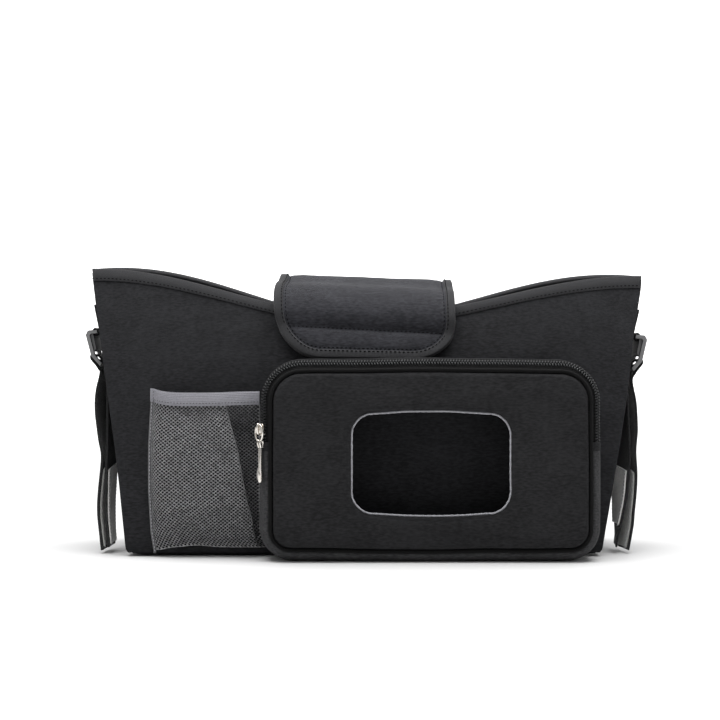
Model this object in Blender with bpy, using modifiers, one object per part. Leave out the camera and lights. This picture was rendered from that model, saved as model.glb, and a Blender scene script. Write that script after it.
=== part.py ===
"""Stroller organiser bag: fabric body, flap, zipped wipes pocket, mesh pocket, side buckles and straps.

Metres, +Z up. The origin is the centre of the base's underside, +X is to the right seen from the front, and
the front faces -Y.
"""

import math

import bmesh
import bpy
from mathutils import Vector

# Clearance between pieces that touch, and the thickness of the cloths
GAP = 0.0003
WALL = 0.003
BINDING_TAPE = 0.0008

# Body
BASE_HALF_WIDTH = 0.166
TOP_HALF_WIDTH = 0.198
LEFT_CORNER_HEIGHT = 0.2015
RIGHT_CORNER_HEIGHT = 0.1965
MOUTH_MIDDLE_HEIGHT = 0.164
BACK_EDGE_RISE = 0.005
BASE_INNER_HALF_DEPTH = 0.052
MOUTH_HALF_DEPTH = 0.026
MIDDLE_CURVE_POWER = 4.0
SIDE_CURVE_POWER = 2.0
BASE_THICKNESS = 0.003
BOARD_THICKNESS = 0.002
BOARD_MARGIN = 0.004
GUSSET_TOP_SHARE = 0.985
GUSSET_ROWS = 10
TOP_BINDING_HEIGHT = 0.009
WALL_COLUMNS = 20
WALL_ROWS = 9

# Flap
FLAP_HALF_WIDTH = 0.0609
FLAP_THICKNESS = 0.003
FLAP_CORNER_RADIUS = 0.030
FLAP_ROOT_HEIGHT = 0.112
FLAP_RIDGE_HEIGHT = 0.1962
FLAP_RIDGE_DEPTH = 0.011
FLAP_CREASE_HEIGHT = 0.1565
FLAP_TIP_HEIGHT = 0.1378
FLAP_COLUMNS = 14
FLAP_ROWS = 22
FLAP_CORNER_ROWS = 7
FLAP_BINDING_WIDTH = 0.0055
CORNER_STEPS = 8
STRIP_THICKNESS = 0.001
STRIP_HALF_WIDTH = 0.031
STRIP_STEPS = 6
LOOP_STRIP_SPAN = (0.1375, 0.1515)
HOOK_STRIP_SPAN = (0.1450, 0.1545)
FLAP_STRAIGHT_MARGIN = 0.0345
# The flap's way over the mouth as (depth, height), counted from the back edge, the ridge and the front edge
FLAP_WALL_SHARES = (0.0, 0.35, 0.65)
FLAP_BEHIND_MIDDLE = (0.0065, -0.006)
FLAP_BEHIND_SHOULDER = ((0.0030, -0.002), (-0.0015, 0.009))
FLAP_OVER_RIDGE = ((0.011, -0.0045), (0.0, 0.0), (-0.012, -0.001), (-0.024, -0.0055))
FLAP_OVER_FRONT = ((0.0095, 0.011), (-0.0003, 0.003))
FLAP_FRONT_BULGE = (0.0055, 0.002)

# Wipes pocket: the panel's outline, and distances out of it
POCKET_LEFT = -0.0628
POCKET_RIGHT = 0.148
POCKET_BOTTOM = 0.0100
POCKET_TOP = 0.1258
POCKET_TOP_RADIUS = 0.0185
POCKET_BOTTOM_RADIUS = 0.012
POCKET_FRONT_DEPTH = 0.0925
POCKET_PANEL_THICKNESS = 0.0025
POCKET_SIDE_OFFSET = 0.0090
POCKET_SIDE_THICKNESS = 0.0014
WINDOW_LEFT = -0.0100
WINDOW_RIGHT = 0.0955
WINDOW_BOTTOM = 0.0330
WINDOW_TOP = 0.0994
WINDOW_RADIUS = 0.0145
WINDOW_EDGE_RADIUS = 0.0009
PIPING_RADIUS = 0.0012

# Zip: its chain runs on a slope of 45 degrees round the panel
ZIP_END_HEIGHT = 0.080
ZIP_OFFSET = 0.0066
ZIP_DEPTH = 0.0840
ZIP_ROW_INNER = 0.0005
ZIP_ROW_OUTER = 0.0024
ZIP_ROW_HALF_HEIGHT = 0.0010
ZIP_TAPE_THICKNESS = 0.0008
ZIP_FRONT_TAPE_REACH = 0.0066
ZIP_BACK_TAPE_REACH = 0.0095
ZIP_TAPE_SETBACK = 0.0002
ZIP_BACK_TAPE_INSET = 0.0004
ZIP_BACK_TAPE_BEND = 0.0048
ZIP_BACK_TAPE_BEND_INSIDE = 0.0050
ZIP_BACK_TAPE_CORNER = 0.0023
ZIP_END_TAB_LENGTH = 0.005
ZIP_END_TAB_ACROSS = (-0.0030, 0.0058)
ZIP_END_TAB_STAND = (-0.0003, 0.0008)

# Slider, ring and pull
SLIDER_REST_HEIGHT = 0.0885
SLIDER_LENGTH = 0.0085
SLIDER_HALF_WIDTH = 0.0037
SLIDER_PLATE = 0.0010
BRIDGE_HALF_WIDTH = 0.0008
BRIDGE_CLEAR_HEIGHT = 0.0019
BRIDGE_THICKNESS = 0.0010
BRIDGE_CROWN_EXTRA = 0.0002
BRIDGE_END_INSET = 0.0004
BRIDGE_LEG = 0.0012
BRIDGE_LEG_INSET = 0.0005
POST_LENGTH = 0.0015
POST_INSET = 0.0003
JOIN_OVERLAP = 0.0001
RING_WIRE_RADIUS = 0.00055
RING_HALF_WIDTH = 0.00215
RING_LENGTH = 0.0094
RING_PIVOT_RISE = 0.0012
PULL_LENGTH = 0.0285
PULL_HALF_WIDTH = 0.0013
PULL_THICKNESS = 0.0013
PULL_EYE_RADIUS = 0.0019
PULL_EYE_PLAY = 0.0004
PULL_NECK = 0.0030
LOBE_RAISE = 0.0012
LOBE_SPAN = (0.0193, 0.0245)
LOBE_SLOPE = 0.0010

# Mesh pocket
MESH_LEFT = -0.1505
MESH_BOTTOM = 0.0063
MESH_TOP = 0.1072
MESH_BULGE = 0.0135
MESH_PLEAT = 0.0016
MESH_PLEATS = 3
MESH_BELLY_POWER = 0.8
MESH_BELLY_SHARE = 0.45
MESH_BELLY_START = 0.02
MESH_PLEAT_TOP_SHARE = 0.35
MESH_PLEAT_FADE = 0.2
MESH_THICKNESS = 0.0010
MESH_GAPS_ACROSS = 9
MESH_GAPS_UP = 12
MESH_BAR_SHARE = 0.42
MESH_BINDING_WIDTH = 0.0025
ELASTIC_HEIGHT = 0.0093
ELASTIC_THICKNESS = 0.0016
ELASTIC_STEPS = 16
MESH_BINDING_STEPS = 8

# Side buckles and straps
LEFT_BUCKLE_HEIGHT = 0.1565
RIGHT_BUCKLE_HEIGHT = 0.1530
BUCKLE_HALF_LENGTH = 0.0165
BUCKLE_RAIL = 0.0033
BUCKLE_BAR_REACH = 0.0046
BUCKLE_WINDOW_DROP = 0.0200
BUCKLE_PIVOT_OUT = 0.0034
BUCKLE_PIVOT_DROP = 0.0013
CUTTER_REACH = 0.05
TAB_HALF_WIDTH = 0.0120
TAB_THICKNESS = 0.0010
TAB_LOOP_RADIUS = 0.0025
TAB_TAIL = 0.018
TAB_LOOP_START = math.radians(160)
TAB_LOOP_TURN = math.radians(275)
TAB_LOOP_STEPS = 12
STRAP_HALF_WIDTH = 0.0125
STRAP_THICKNESS = 0.0015
STRAP_LEAN = 0.028
PATCH_HALF_WIDTH = 0.0110
PATCH_THICKNESS = 0.0011
PATCH_LENGTH = 0.058

# The buckle's outline, outwards from the bag's side and up from the buckle's top
BUCKLE_OUTLINE = (
    (0.0022, 0.0), (0.0088, -0.0004), (0.0110, -0.0035), (0.0100, -0.0190), (0.0050, -0.0262),
    (0.0032, -0.0236), (0.0070, -0.0180), (0.0080, -0.0042), (0.0070, -0.0030), (0.0022, -0.0026),
)
# The strap's way over the lower bar, in the same terms
STRAP_OVER_BAR = (
    (0.0020, -0.0262), (0.0022, -0.0232), (0.0046, -0.0190), (0.0072, -0.0180),
    (0.0102, -0.0182), (0.0108, -0.0206), (0.0084, -0.0243), (0.0066, -0.0275),
)
# Each ply's way down from the bar, as distances out from the bag's side and heights
LEFT_OUTER_PLY = ((0.0115, 0.112), (0.0141, 0.096), (0.0140, 0.078), (0.0154, 0.063),
                  (0.0188, 0.048), (0.0225, 0.034), (0.0246, 0.016), (0.0246, 0.0025))
LEFT_INNER_PLY = ((0.0155, 0.0045), (0.0108, 0.03), (0.0059, 0.06), (0.0032, 0.092),
                  (0.0026, 0.118))
RIGHT_OUTER_PLY = ((0.0108, 0.11), (0.0151, 0.096), (0.0172, 0.078), (0.0194, 0.061),
                   (0.0221, 0.049), (0.0235, 0.034), (0.0245, 0.014), (0.0241, 0.0025))
RIGHT_INNER_PLY = ((0.0098, 0.0045), (0.0083, 0.02), (0.0094, 0.038), (0.0076, 0.06),
                   (0.0045, 0.09), (0.0031, 0.115))

MATERIALS = {
    "body_cloth": ((0.022, 0.022, 0.024), 0.85, 0.0),
    "binding_cloth": ((0.028, 0.028, 0.031), 0.80, 0.0),
    "pocket_cloth": ((0.024, 0.024, 0.025), 0.85, 0.0),
    "base_board": ((0.05, 0.05, 0.05), 0.70, 0.0),
    "mesh_net": ((0.30, 0.30, 0.31), 0.80, 0.0),
    "elastic": ((0.27, 0.26, 0.29), 0.80, 0.0),
    "zip_tape": ((0.030, 0.031, 0.028), 0.85, 0.0),
    "zip_coil": ((0.012, 0.012, 0.013), 0.40, 0.0),
    "zip_metal": ((0.72, 0.69, 0.64), 0.25, 1.0),
    "window_edge": ((0.35, 0.35, 0.36), 0.85, 0.0),
    "hook_loop": ((0.21, 0.21, 0.20), 0.90, 0.0),
    "webbing": ((0.015, 0.015, 0.016), 0.75, 0.0),
    "buckle_plastic": ((0.020, 0.020, 0.021), 0.40, 0.0),
}

CORNER_HALF_GAP = BINDING_TAPE + 1.5 * GAP
MEAN_CORNER_HEIGHT = (LEFT_CORNER_HEIGHT + RIGHT_CORNER_HEIGHT) / 2
WALL_BOTTOM = BASE_THICKNESS + GAP
SLOPE = math.sqrt(0.5)


def clear_scene():
    for obj in list(bpy.data.objects):
        bpy.data.objects.remove(obj, do_unlink=True)


def make_collection(name):
    collection = bpy.data.collections.new(name)
    bpy.context.scene.collection.children.link(collection)
    return collection


clear_scene()
parts = make_collection("stroller_organiser_bag")
cutters = make_collection("cutters")


def material(name):
    found = bpy.data.materials.get(name)
    if found:
        return found
    colour, roughness, metallic = MATERIALS[name]
    made = bpy.data.materials.new(name)
    made.use_nodes = True
    shader = made.node_tree.nodes["Principled BSDF"]
    shader.inputs["Base Color"].default_value = (*colour, 1.0)
    shader.inputs["Roughness"].default_value = roughness
    shader.inputs["Metallic"].default_value = metallic
    return made


def add_mesh(name, bm, slot, collection=parts):
    mesh = bpy.data.meshes.new(name)
    bm.to_mesh(mesh)
    bm.free()
    obj = bpy.data.objects.new(name, mesh)
    collection.objects.link(obj)
    mesh.materials.append(material(slot))
    return obj


def solidify(obj, thickness, offset):
    shell = obj.modifiers.new("thickness", "SOLIDIFY")
    shell.thickness = thickness
    shell.offset = offset
    shell.use_even_offset = False
    return obj


def sweep(name, stations, slot, closed=False):
    """A solid through sections of equal point counts: closed in a ring, or capped at both ends."""
    bm = bmesh.new()
    rows = [[bm.verts.new(point) for point in station] for station in stations]
    pairs = list(zip(rows, rows[1:]))
    if closed:
        pairs.append((rows[-1], rows[0]))
    for first, second in pairs:
        for i in range(len(first)):
            j = (i + 1) % len(first)
            bm.faces.new((first[i], first[j], second[j], second[i]))
    if not closed:
        bm.faces.new(rows[0])
        bm.faces.new(rows[-1])
    bmesh.ops.recalc_face_normals(bm, faces=bm.faces)
    return add_mesh(name, bm, slot)


def two_layers(name, layers, slot):
    """A cloth between two grids of points, closed round its edge."""
    bm = bmesh.new()
    grids = [[[bm.verts.new(point) for point in row] for row in layer] for layer in layers]
    for grid in grids:
        for first, second in zip(grid, grid[1:]):
            for a, b, c, d in zip(first, first[1:], second[1:], second):
                bm.faces.new((a, b, c, d))
    rims = []
    for grid in grids:
        right_side = [row[-1] for row in grid[1:]]
        left_side = [row[0] for row in grid[-2:0:-1]]
        rims.append(grid[0] + right_side + grid[-1][-2::-1] + left_side)
    for i in range(len(rims[0])):
        bm.faces.new((rims[0][i - 1], rims[0][i], rims[1][i], rims[1][i - 1]))
    bmesh.ops.recalc_face_normals(bm, faces=bm.faces)
    return add_mesh(name, bm, slot)


def tube(name, points, radius, slot, cyclic=False):
    curve = bpy.data.curves.new(name, "CURVE")
    curve.dimensions = "3D"
    curve.bevel_depth = radius
    curve.bevel_resolution = 1
    curve.use_fill_caps = not cyclic
    spline = curve.splines.new("POLY")
    spline.points.add(len(points) - 1)
    for i, point in enumerate(points):
        spline.points[i].co = (*point, 1.0)
    spline.use_cyclic_u = cyclic
    obj = bpy.data.objects.new(name, curve)
    parts.objects.link(obj)
    curve.materials.append(material(slot))
    return obj


def smooth_route(points, steps):
    """A Catmull-Rom curve through the points, with this many steps between neighbours."""
    route = []
    last = len(points) - 1
    for i in range(last):
        a, b, c, d = (Vector(points[k]) for k in (max(i - 1, 0), i, i + 1, min(i + 2, last)))
        for step in range(steps):
            t = step / steps
            route.append(0.5 * (2 * b + (c - a) * t + (2 * a - 5 * b + 4 * c - d) * t ** 2
                                + (3 * b - 3 * c + d - a) * t ** 3))
    route.append(Vector(points[-1]))
    return route


# Body surfaces: u runs from -1 at the left edge to 1 at the right edge


def half_width(z):
    return BASE_HALF_WIDTH + (TOP_HALF_WIDTH - BASE_HALF_WIDTH) * z / MEAN_CORNER_HEIGHT


def top_height(u, rise=0.0):
    corner = LEFT_CORNER_HEIGHT if u < 0 else RIGHT_CORNER_HEIGHT
    share = (1 - math.cos(math.pi * abs(u))) / 2
    bow = rise * math.sin(math.pi * abs(u) ** 1.5)
    return MOUTH_MIDDLE_HEIGHT + (corner - MOUTH_MIDDLE_HEIGHT) * share + bow


def inner_depth(u, z, top):
    mouth = CORNER_HALF_GAP + MOUTH_HALF_DEPTH * (1 - u * u)
    power = MIDDLE_CURVE_POWER + (SIDE_CURVE_POWER - MIDDLE_CURVE_POWER) * u * u
    share = min(z / top, 1.0) ** power
    return mouth + (BASE_INNER_HALF_DEPTH - mouth) * (1 - share)


def wall_frame(u, z, side, rise, drop=1e-4):
    """A point on a wall's inner surface, its outward normal and the way down the wall over this drop."""
    def at(u, z):
        return Vector((u * half_width(z), side * inner_depth(u, z, top_height(u, rise)), z))
    step = 1e-4
    across = at(u + step, z) - at(u - step, z) if abs(u) < 1 - step else at(u, z) - at(u * (1 - step), z)
    if u <= -1 + step:
        across.negate()
    down = (at(u, z - drop) - at(u, z)).normalized()
    normal = down.cross(across).normalized()
    if normal.y * side < 0:
        normal.negate()
    return at(u, z), normal, down


def outer_depth(x, z, rise=0.0):
    """How far a wall's outer face lies from the bag's middle plane, at a place given by x and z."""
    u = max(-1.0, min(1.0, x / half_width(z)))
    step = 1e-4
    top = top_height(u, rise)
    here = inner_depth(u, z, top)
    slope = (inner_depth(u, z + step, top) - here) / step
    return here + WALL * math.hypot(1, slope)


def outer_depth_over(half_span, z, rise=0.0):
    """The outer face's greatest depth between the middle and this distance to the side."""
    return max(outer_depth(half_span * share, z, rise) for share in (0.0, 0.5, 1.0))


def wall_panel(name, side, rise):
    bm = bmesh.new()
    bmesh.ops.create_grid(bm, x_segments=WALL_COLUMNS, y_segments=WALL_ROWS, size=1)
    for vert in bm.verts:
        u, v = vert.co.x, (vert.co.y + 1) / 2
        z = WALL_BOTTOM + v * (top_height(u, rise) - WALL_BOTTOM)
        vert.co = wall_frame(u, z, side, rise)[0]
    bmesh.ops.recalc_face_normals(bm, faces=bm.faces)
    if bm.faces[:][0].normal.y * side < 0:
        bmesh.ops.reverse_faces(bm, faces=bm.faces)
    return solidify(add_mesh(name, bm, "body_cloth"), WALL, 1)


def gusset(name, side):
    """A flat side wall between the front and back walls' inner faces."""
    corner = LEFT_CORNER_HEIGHT if side < 0 else RIGHT_CORNER_HEIGHT
    bm = bmesh.new()
    bmesh.ops.create_grid(bm, x_segments=2, y_segments=GUSSET_ROWS, size=1)
    for vert in bm.verts:
        across, v = vert.co.x, (vert.co.y + 1) / 2
        z = WALL_BOTTOM + v * (corner * GUSSET_TOP_SHARE - WALL_BOTTOM)
        reach = inner_depth(1.0, z, corner) - GAP
        vert.co = (side * half_width(z), across * reach, z)
    bmesh.ops.recalc_face_normals(bm, faces=bm.faces)
    if bm.faces[:][0].normal.x * side < 0:
        bmesh.ops.reverse_faces(bm, faces=bm.faces)
    return solidify(add_mesh(name, bm, "body_cloth"), WALL, -1)


def slab(name, half_x, half_y, low, high, slot):
    bm = bmesh.new()
    bmesh.ops.create_cube(bm, size=1)
    for vert in bm.verts:
        vert.co = (vert.co.x * 2 * half_x, vert.co.y * 2 * half_y, low + (vert.co.z + 0.5) * (high - low))
    return add_mesh(name, bm, slot)


def folded_section(thickness, width, low=0.0, slack=GAP):
    """A folded tape round an edge: pairs of (height over the inner face, distance in from the edge)."""
    near, far = low - slack, low + thickness + slack
    return (
        (near - BINDING_TAPE, width), (near - BINDING_TAPE, -GAP - BINDING_TAPE),
        (far + BINDING_TAPE, -GAP - BINDING_TAPE), (far + BINDING_TAPE, width),
        (far, width), (far, -GAP), (near, -GAP), (near, width),
    )


def top_binding(name, side, rise):
    end = 1 - (WALL + GAP) / TOP_HALF_WIDTH
    stations = []
    for i in range(WALL_COLUMNS + 1):
        u = max(-end, min(end, 2 * i / WALL_COLUMNS - 1))
        top = top_height(u, rise)
        origin, normal, down = wall_frame(u, top, side, rise, (top - WALL_BOTTOM) / WALL_ROWS)
        stations.append([origin + normal * n + down * d for n, d in folded_section(WALL, TOP_BINDING_HEIGHT)])
    return sweep(name, stations, "binding_cloth")


# Flap: x runs across, s runs along its side view from the root on the back wall to the tip in front


def flap_side_view():
    """The outer face's side view as (y, z) points."""
    clear = BINDING_TAPE + 3 * GAP + FLAP_THICKNESS + BINDING_TAPE
    root, mouth = FLAP_ROOT_HEIGHT, MOUTH_MIDDLE_HEIGHT
    points = []
    for share in FLAP_WALL_SHARES:
        z = root + share * (mouth - root)
        points.append((outer_depth_over(FLAP_HALF_WIDTH, z, BACK_EDGE_RISE) + clear, z))
    edge = CORNER_HALF_GAP + MOUTH_HALF_DEPTH + WALL + clear
    shoulder = top_height(FLAP_HALF_WIDTH / half_width(mouth), BACK_EDGE_RISE)
    points.append((edge + FLAP_BEHIND_MIDDLE[0], mouth + FLAP_BEHIND_MIDDLE[1]))
    points += [(edge + y, shoulder + z) for y, z in FLAP_BEHIND_SHOULDER]
    points += [(FLAP_RIDGE_DEPTH + y, FLAP_RIDGE_HEIGHT + z) for y, z in FLAP_OVER_RIDGE]
    points += [(y - edge, shoulder + z) for y, z in FLAP_OVER_FRONT]
    points.append((-edge - FLAP_FRONT_BULGE[0], (shoulder + FLAP_CREASE_HEIGHT) / 2 + FLAP_FRONT_BULGE[1]))
    strips = 2 * STRIP_THICKNESS + 3 * GAP + FLAP_THICKNESS
    top_clear = strips + BINDING_TAPE
    for z in (FLAP_CREASE_HEIGHT, (FLAP_CREASE_HEIGHT + FLAP_TIP_HEIGHT) / 2, FLAP_TIP_HEIGHT):
        points.append((-outer_depth_over(STRIP_HALF_WIDTH, z) - top_clear, z))
    return points


class SideView:
    """A planar route measured along its length, with its outward normal."""

    def __init__(self, points):
        self.points = smooth_route(points, 6)
        self.marks = [0.0]
        for a, b in zip(self.points, self.points[1:]):
            self.marks.append(self.marks[-1] + (b - a).length)
        self.length = self.marks[-1]

    def place(self, x, s, height=0.0):
        s = min(max(s, 0.0), self.length)
        k = 0
        while k < len(self.points) - 2 and self.marks[k + 1] < s:
            k += 1
        a, b = self.points[k], self.points[k + 1]
        t = (s - self.marks[k]) / (self.marks[k + 1] - self.marks[k])
        before = self.points[max(k - 1, 0)]
        after = self.points[min(k + 2, len(self.points) - 1)]
        along = ((b - before).normalized() * (1 - t) + (after - a).normalized() * t).normalized()
        spot = a.lerp(b, t)
        return Vector((x, spot.x + along.y * height, spot.y - along.x * height))

    def at_height(self, z):
        """The distance along the route where its front stretch passes this height."""
        for k in range(len(self.points) - 1, 0, -1):
            if self.points[k - 1].y >= z:
                a, b = self.points[k - 1], self.points[k]
                return self.marks[k - 1] + (self.marks[k] - self.marks[k - 1]) * (a.y - z) / (a.y - b.y)
        return 0.0


def flap_end(x, view):
    """How far along the flap reaches at this distance from its middle, with its round corners."""
    into = abs(x) - (FLAP_HALF_WIDTH - FLAP_CORNER_RADIUS)
    if into <= 0:
        return view.length
    return view.length - FLAP_CORNER_RADIUS + math.sqrt(max(FLAP_CORNER_RADIUS ** 2 - into ** 2, 0.0))


def flap_straight(view):
    """How far along the flap its sides are straight."""
    return view.length - FLAP_STRAIGHT_MARGIN


def flap_panel(view):
    straight = flap_straight(view)
    across = [FLAP_HALF_WIDTH * math.sin(math.pi * (k / FLAP_COLUMNS - 0.5)) for k in range(FLAP_COLUMNS + 1)]
    layers = [[], []]
    for row in range(FLAP_ROWS + FLAP_CORNER_ROWS + 1):
        places = []
        for x in across:
            s = straight * row / FLAP_ROWS
            if row > FLAP_ROWS:
                s = straight + (flap_end(x, view) - straight) * (row - FLAP_ROWS) / FLAP_CORNER_ROWS
            places.append((x, s))
        for layer, height in zip(layers, (0.0, -FLAP_THICKNESS)):
            layer.append([view.place(x, s, height) for x, s in places])
    return two_layers("flap", layers, "body_cloth")


def flap_rail(view):
    """The flap's edge as (x, s, inward x, inward s), from the left side's root round to the right side's."""
    corner = view.length - FLAP_CORNER_RADIUS
    inner = FLAP_HALF_WIDTH - FLAP_CORNER_RADIUS
    straight = flap_straight(view)
    rail = [(-FLAP_HALF_WIDTH, straight * i / FLAP_ROWS, 1.0, 0.0) for i in range(FLAP_ROWS + 1)]
    for i in range(CORNER_STEPS + 1):
        angle = math.pi / 2 * i / CORNER_STEPS
        rail.append((-inner - FLAP_CORNER_RADIUS * math.cos(angle),
                     corner + FLAP_CORNER_RADIUS * math.sin(angle), math.cos(angle), -math.sin(angle)))
    rail += [(-x, s, -dx, ds) for x, s, dx, ds in reversed(rail)]
    return rail


def flap_binding(view):
    stations = []
    for x, s, dx, ds in flap_rail(view):
        station = []
        for n, inward in folded_section(FLAP_THICKNESS, FLAP_BINDING_WIDTH, -FLAP_THICKNESS, 2 * GAP):
            along = s + ds * inward
            point = view.place(x + dx * inward, along, n)
            if along > view.length:
                ahead = view.points[-1] - view.points[-2]
                point += Vector((0, ahead.x, ahead.y)).normalized() * (along - view.length)
            station.append(point)
        stations.append(station)
    return sweep("flap_binding", stations, "binding_cloth")


def flap_strips(view):
    """The hook strip inside the flap and the loop strip on the front wall."""
    hooks, loops = [], []
    near, far = -FLAP_THICKNESS - GAP, -FLAP_THICKNESS - GAP - STRIP_THICKNESS
    for i in range(STRIP_STEPS + 1):
        low, high = HOOK_STRIP_SPAN
        s = view.at_height(low + (high - low) * i / STRIP_STEPS)
        hooks.append([view.place(x, s, n) for x, n in ((-STRIP_HALF_WIDTH, near), (STRIP_HALF_WIDTH, near),
                                                       (STRIP_HALF_WIDTH, far), (-STRIP_HALF_WIDTH, far))])
        low, high = LOOP_STRIP_SPAN
        z = low + (high - low) * i / STRIP_STEPS
        depth = outer_depth_over(STRIP_HALF_WIDTH, z) + GAP
        loops.append([Vector((x, -y, z)) for x, y in (
            (-STRIP_HALF_WIDTH, depth), (STRIP_HALF_WIDTH, depth),
            (STRIP_HALF_WIDTH, depth + STRIP_THICKNESS), (-STRIP_HALF_WIDTH, depth + STRIP_THICKNESS))])
    sweep("flap_hook_strip", hooks, "hook_loop")
    sweep("flap_loop_strip", loops, "hook_loop")


# Wipes pocket: its outline is a list of (centre x, centre z, radius, angle), to be taken at any offset


def rounded_outline(left, right, bottom, top, low_radius, high_radius, split):
    """The outline's upper and lower runs, clockwise from the split height on the left, and their ends."""
    steps, spans = 6, 8

    def side(x, sign, z_from, z_to, radius, angle, count):
        rise = (z_to - z_from) / count
        return [(x + sign * radius, z_from + rise * i, radius, angle) for i in range(count)]

    def corner(x, z, radius, start, end):
        return [(x, z, radius, start + (end - start) * i / steps) for i in range(steps)]

    half = math.pi / 2
    high_left = side(left, 1, split, top - high_radius, high_radius, math.pi, 3)
    high_left += corner(left + high_radius, top - high_radius, high_radius, math.pi, half)
    span = (right - left - 2 * high_radius) / spans
    high_left += [(left + high_radius + span * i, top - high_radius, high_radius, half) for i in range(spans)]
    high_left += corner(right - high_radius, top - high_radius, high_radius, half, 0.0)
    high_left += side(right, -1, top - high_radius, split, high_radius, 0.0, 3)
    low = side(right, -1, split, bottom + low_radius, low_radius, 0.0, 3)
    low += corner(right - low_radius, bottom + low_radius, low_radius, 0.0, -half)
    span = (right - left - 2 * low_radius) / spans
    low += [(right - low_radius - span * i, bottom + low_radius, low_radius, -half) for i in range(spans)]
    low += corner(left + low_radius, bottom + low_radius, low_radius, -half, -math.pi)
    low += side(left, 1, bottom + low_radius, split, low_radius, -math.pi, 3)
    high_end = (right - high_radius, split, high_radius, 0.0)
    low_end = (left + low_radius, split, low_radius, -math.pi)
    return high_left, low, high_end, low_end


def outline_point(station, offset, depth):
    """A point this far out of the outline. A depth of None is the front wall's outer face."""
    centre_x, centre_z, radius, angle = station
    x = centre_x + (radius + offset) * math.cos(angle)
    z = centre_z + (radius + offset) * math.sin(angle)
    if depth is None:
        depth = outer_depth(x, max(z, 0.0)) + 1.5 * GAP
    return Vector((x, -depth, z))


def pocket_band(name, run, section, slot):
    stations = [[outline_point(at, offset, depth) for offset, depth in section] for at in run]
    return sweep(name, stations, slot)


def on_zip(across, height):
    """(offset, depth) of a place on the zip: across runs towards the panel, height stands out of it."""
    return ZIP_OFFSET + SLOPE * (height - across), ZIP_DEPTH + SLOPE * (height + across)


def wipes_pocket():
    upper, lower, upper_end, lower_end = rounded_outline(
        POCKET_LEFT, POCKET_RIGHT, POCKET_BOTTOM, POCKET_TOP, POCKET_BOTTOM_RADIUS, POCKET_TOP_RADIUS,
        ZIP_END_HEIGHT)
    window_upper, window_lower, _, _ = rounded_outline(
        WINDOW_LEFT, WINDOW_RIGHT, WINDOW_BOTTOM, WINDOW_TOP, WINDOW_RADIUS, WINDOW_RADIUS,
        (WINDOW_BOTTOM + WINDOW_TOP) / 2)
    ring, window = upper + lower, window_upper + window_lower
    front, back = POCKET_FRONT_DEPTH, POCKET_FRONT_DEPTH - POCKET_PANEL_THICKNESS
    edge_room = WINDOW_EDGE_RADIUS + GAP
    stations = []
    for outer, inner in zip(ring, window):
        stations.append([outline_point(outer, -GAP, front), outline_point(inner, edge_room, front),
                         outline_point(inner, edge_room, back), outline_point(outer, -GAP, back)])
    sweep("pocket_front", stations, "pocket_cloth", closed=True)
    edge_depth = front - POCKET_PANEL_THICKNESS / 2
    tube("pocket_window_edge", [outline_point(at, 0, edge_depth) for at in window],
         WINDOW_EDGE_RADIUS, "window_edge", cyclic=True)
    piping_depth = back - PIPING_RADIUS + GAP
    tube("pocket_front_piping", [outline_point(at, PIPING_RADIUS, piping_depth) for at in ring],
         PIPING_RADIUS, "pocket_cloth", cyclic=True)
    zip_run = upper + [upper_end]
    zip_pieces(zip_run)
    side_outer, side_inner = POCKET_SIDE_OFFSET, POCKET_SIDE_OFFSET - POCKET_SIDE_THICKNESS
    upper_front = ZIP_DEPTH - ZIP_BACK_TAPE_REACH - GAP
    seat = PIPING_RADIUS * 2 + GAP
    back_ring = [outline_point(at, (side_outer + side_inner) / 2, None) for at in ring]
    tube("pocket_back_piping", [point - Vector((0, PIPING_RADIUS, 0)) for point in back_ring],
         PIPING_RADIUS, "pocket_cloth", cyclic=True)

    def side_station(at, front_edge):
        points = [outline_point(at, side_inner, None), outline_point(at, side_outer, None)]
        points = [point - Vector((0, seat, 0)) for point in points]
        return points + [outline_point(at, side_outer, front_edge), outline_point(at, side_inner, front_edge)]

    sweep("pocket_side_upper", [side_station(at, upper_front) for at in zip_run], "pocket_cloth")
    lower_run = lower[1:]
    first = (lower[0][0], ZIP_END_HEIGHT - GAP, lower[0][2], lower[0][3])
    last = (lower_end[0], ZIP_END_HEIGHT - GAP, lower_end[2], lower_end[3])
    lower_stations = []
    slant = POCKET_FRONT_DEPTH - POCKET_PANEL_THICKNESS - PIPING_RADIUS * 2 - GAP
    for at in [first] + lower_run + [last]:
        points = side_station(at, slant - side_outer + 2 * PIPING_RADIUS)
        points += [outline_point(at, PIPING_RADIUS - POCKET_SIDE_THICKNESS / 2, slant),
                   outline_point(at, PIPING_RADIUS + POCKET_SIDE_THICKNESS / 2, slant)]
        lower_stations.append([points[0], points[1], points[2], points[5], points[4], points[3]])
    sweep("pocket_side_lower", lower_stations, "pocket_cloth")


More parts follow.
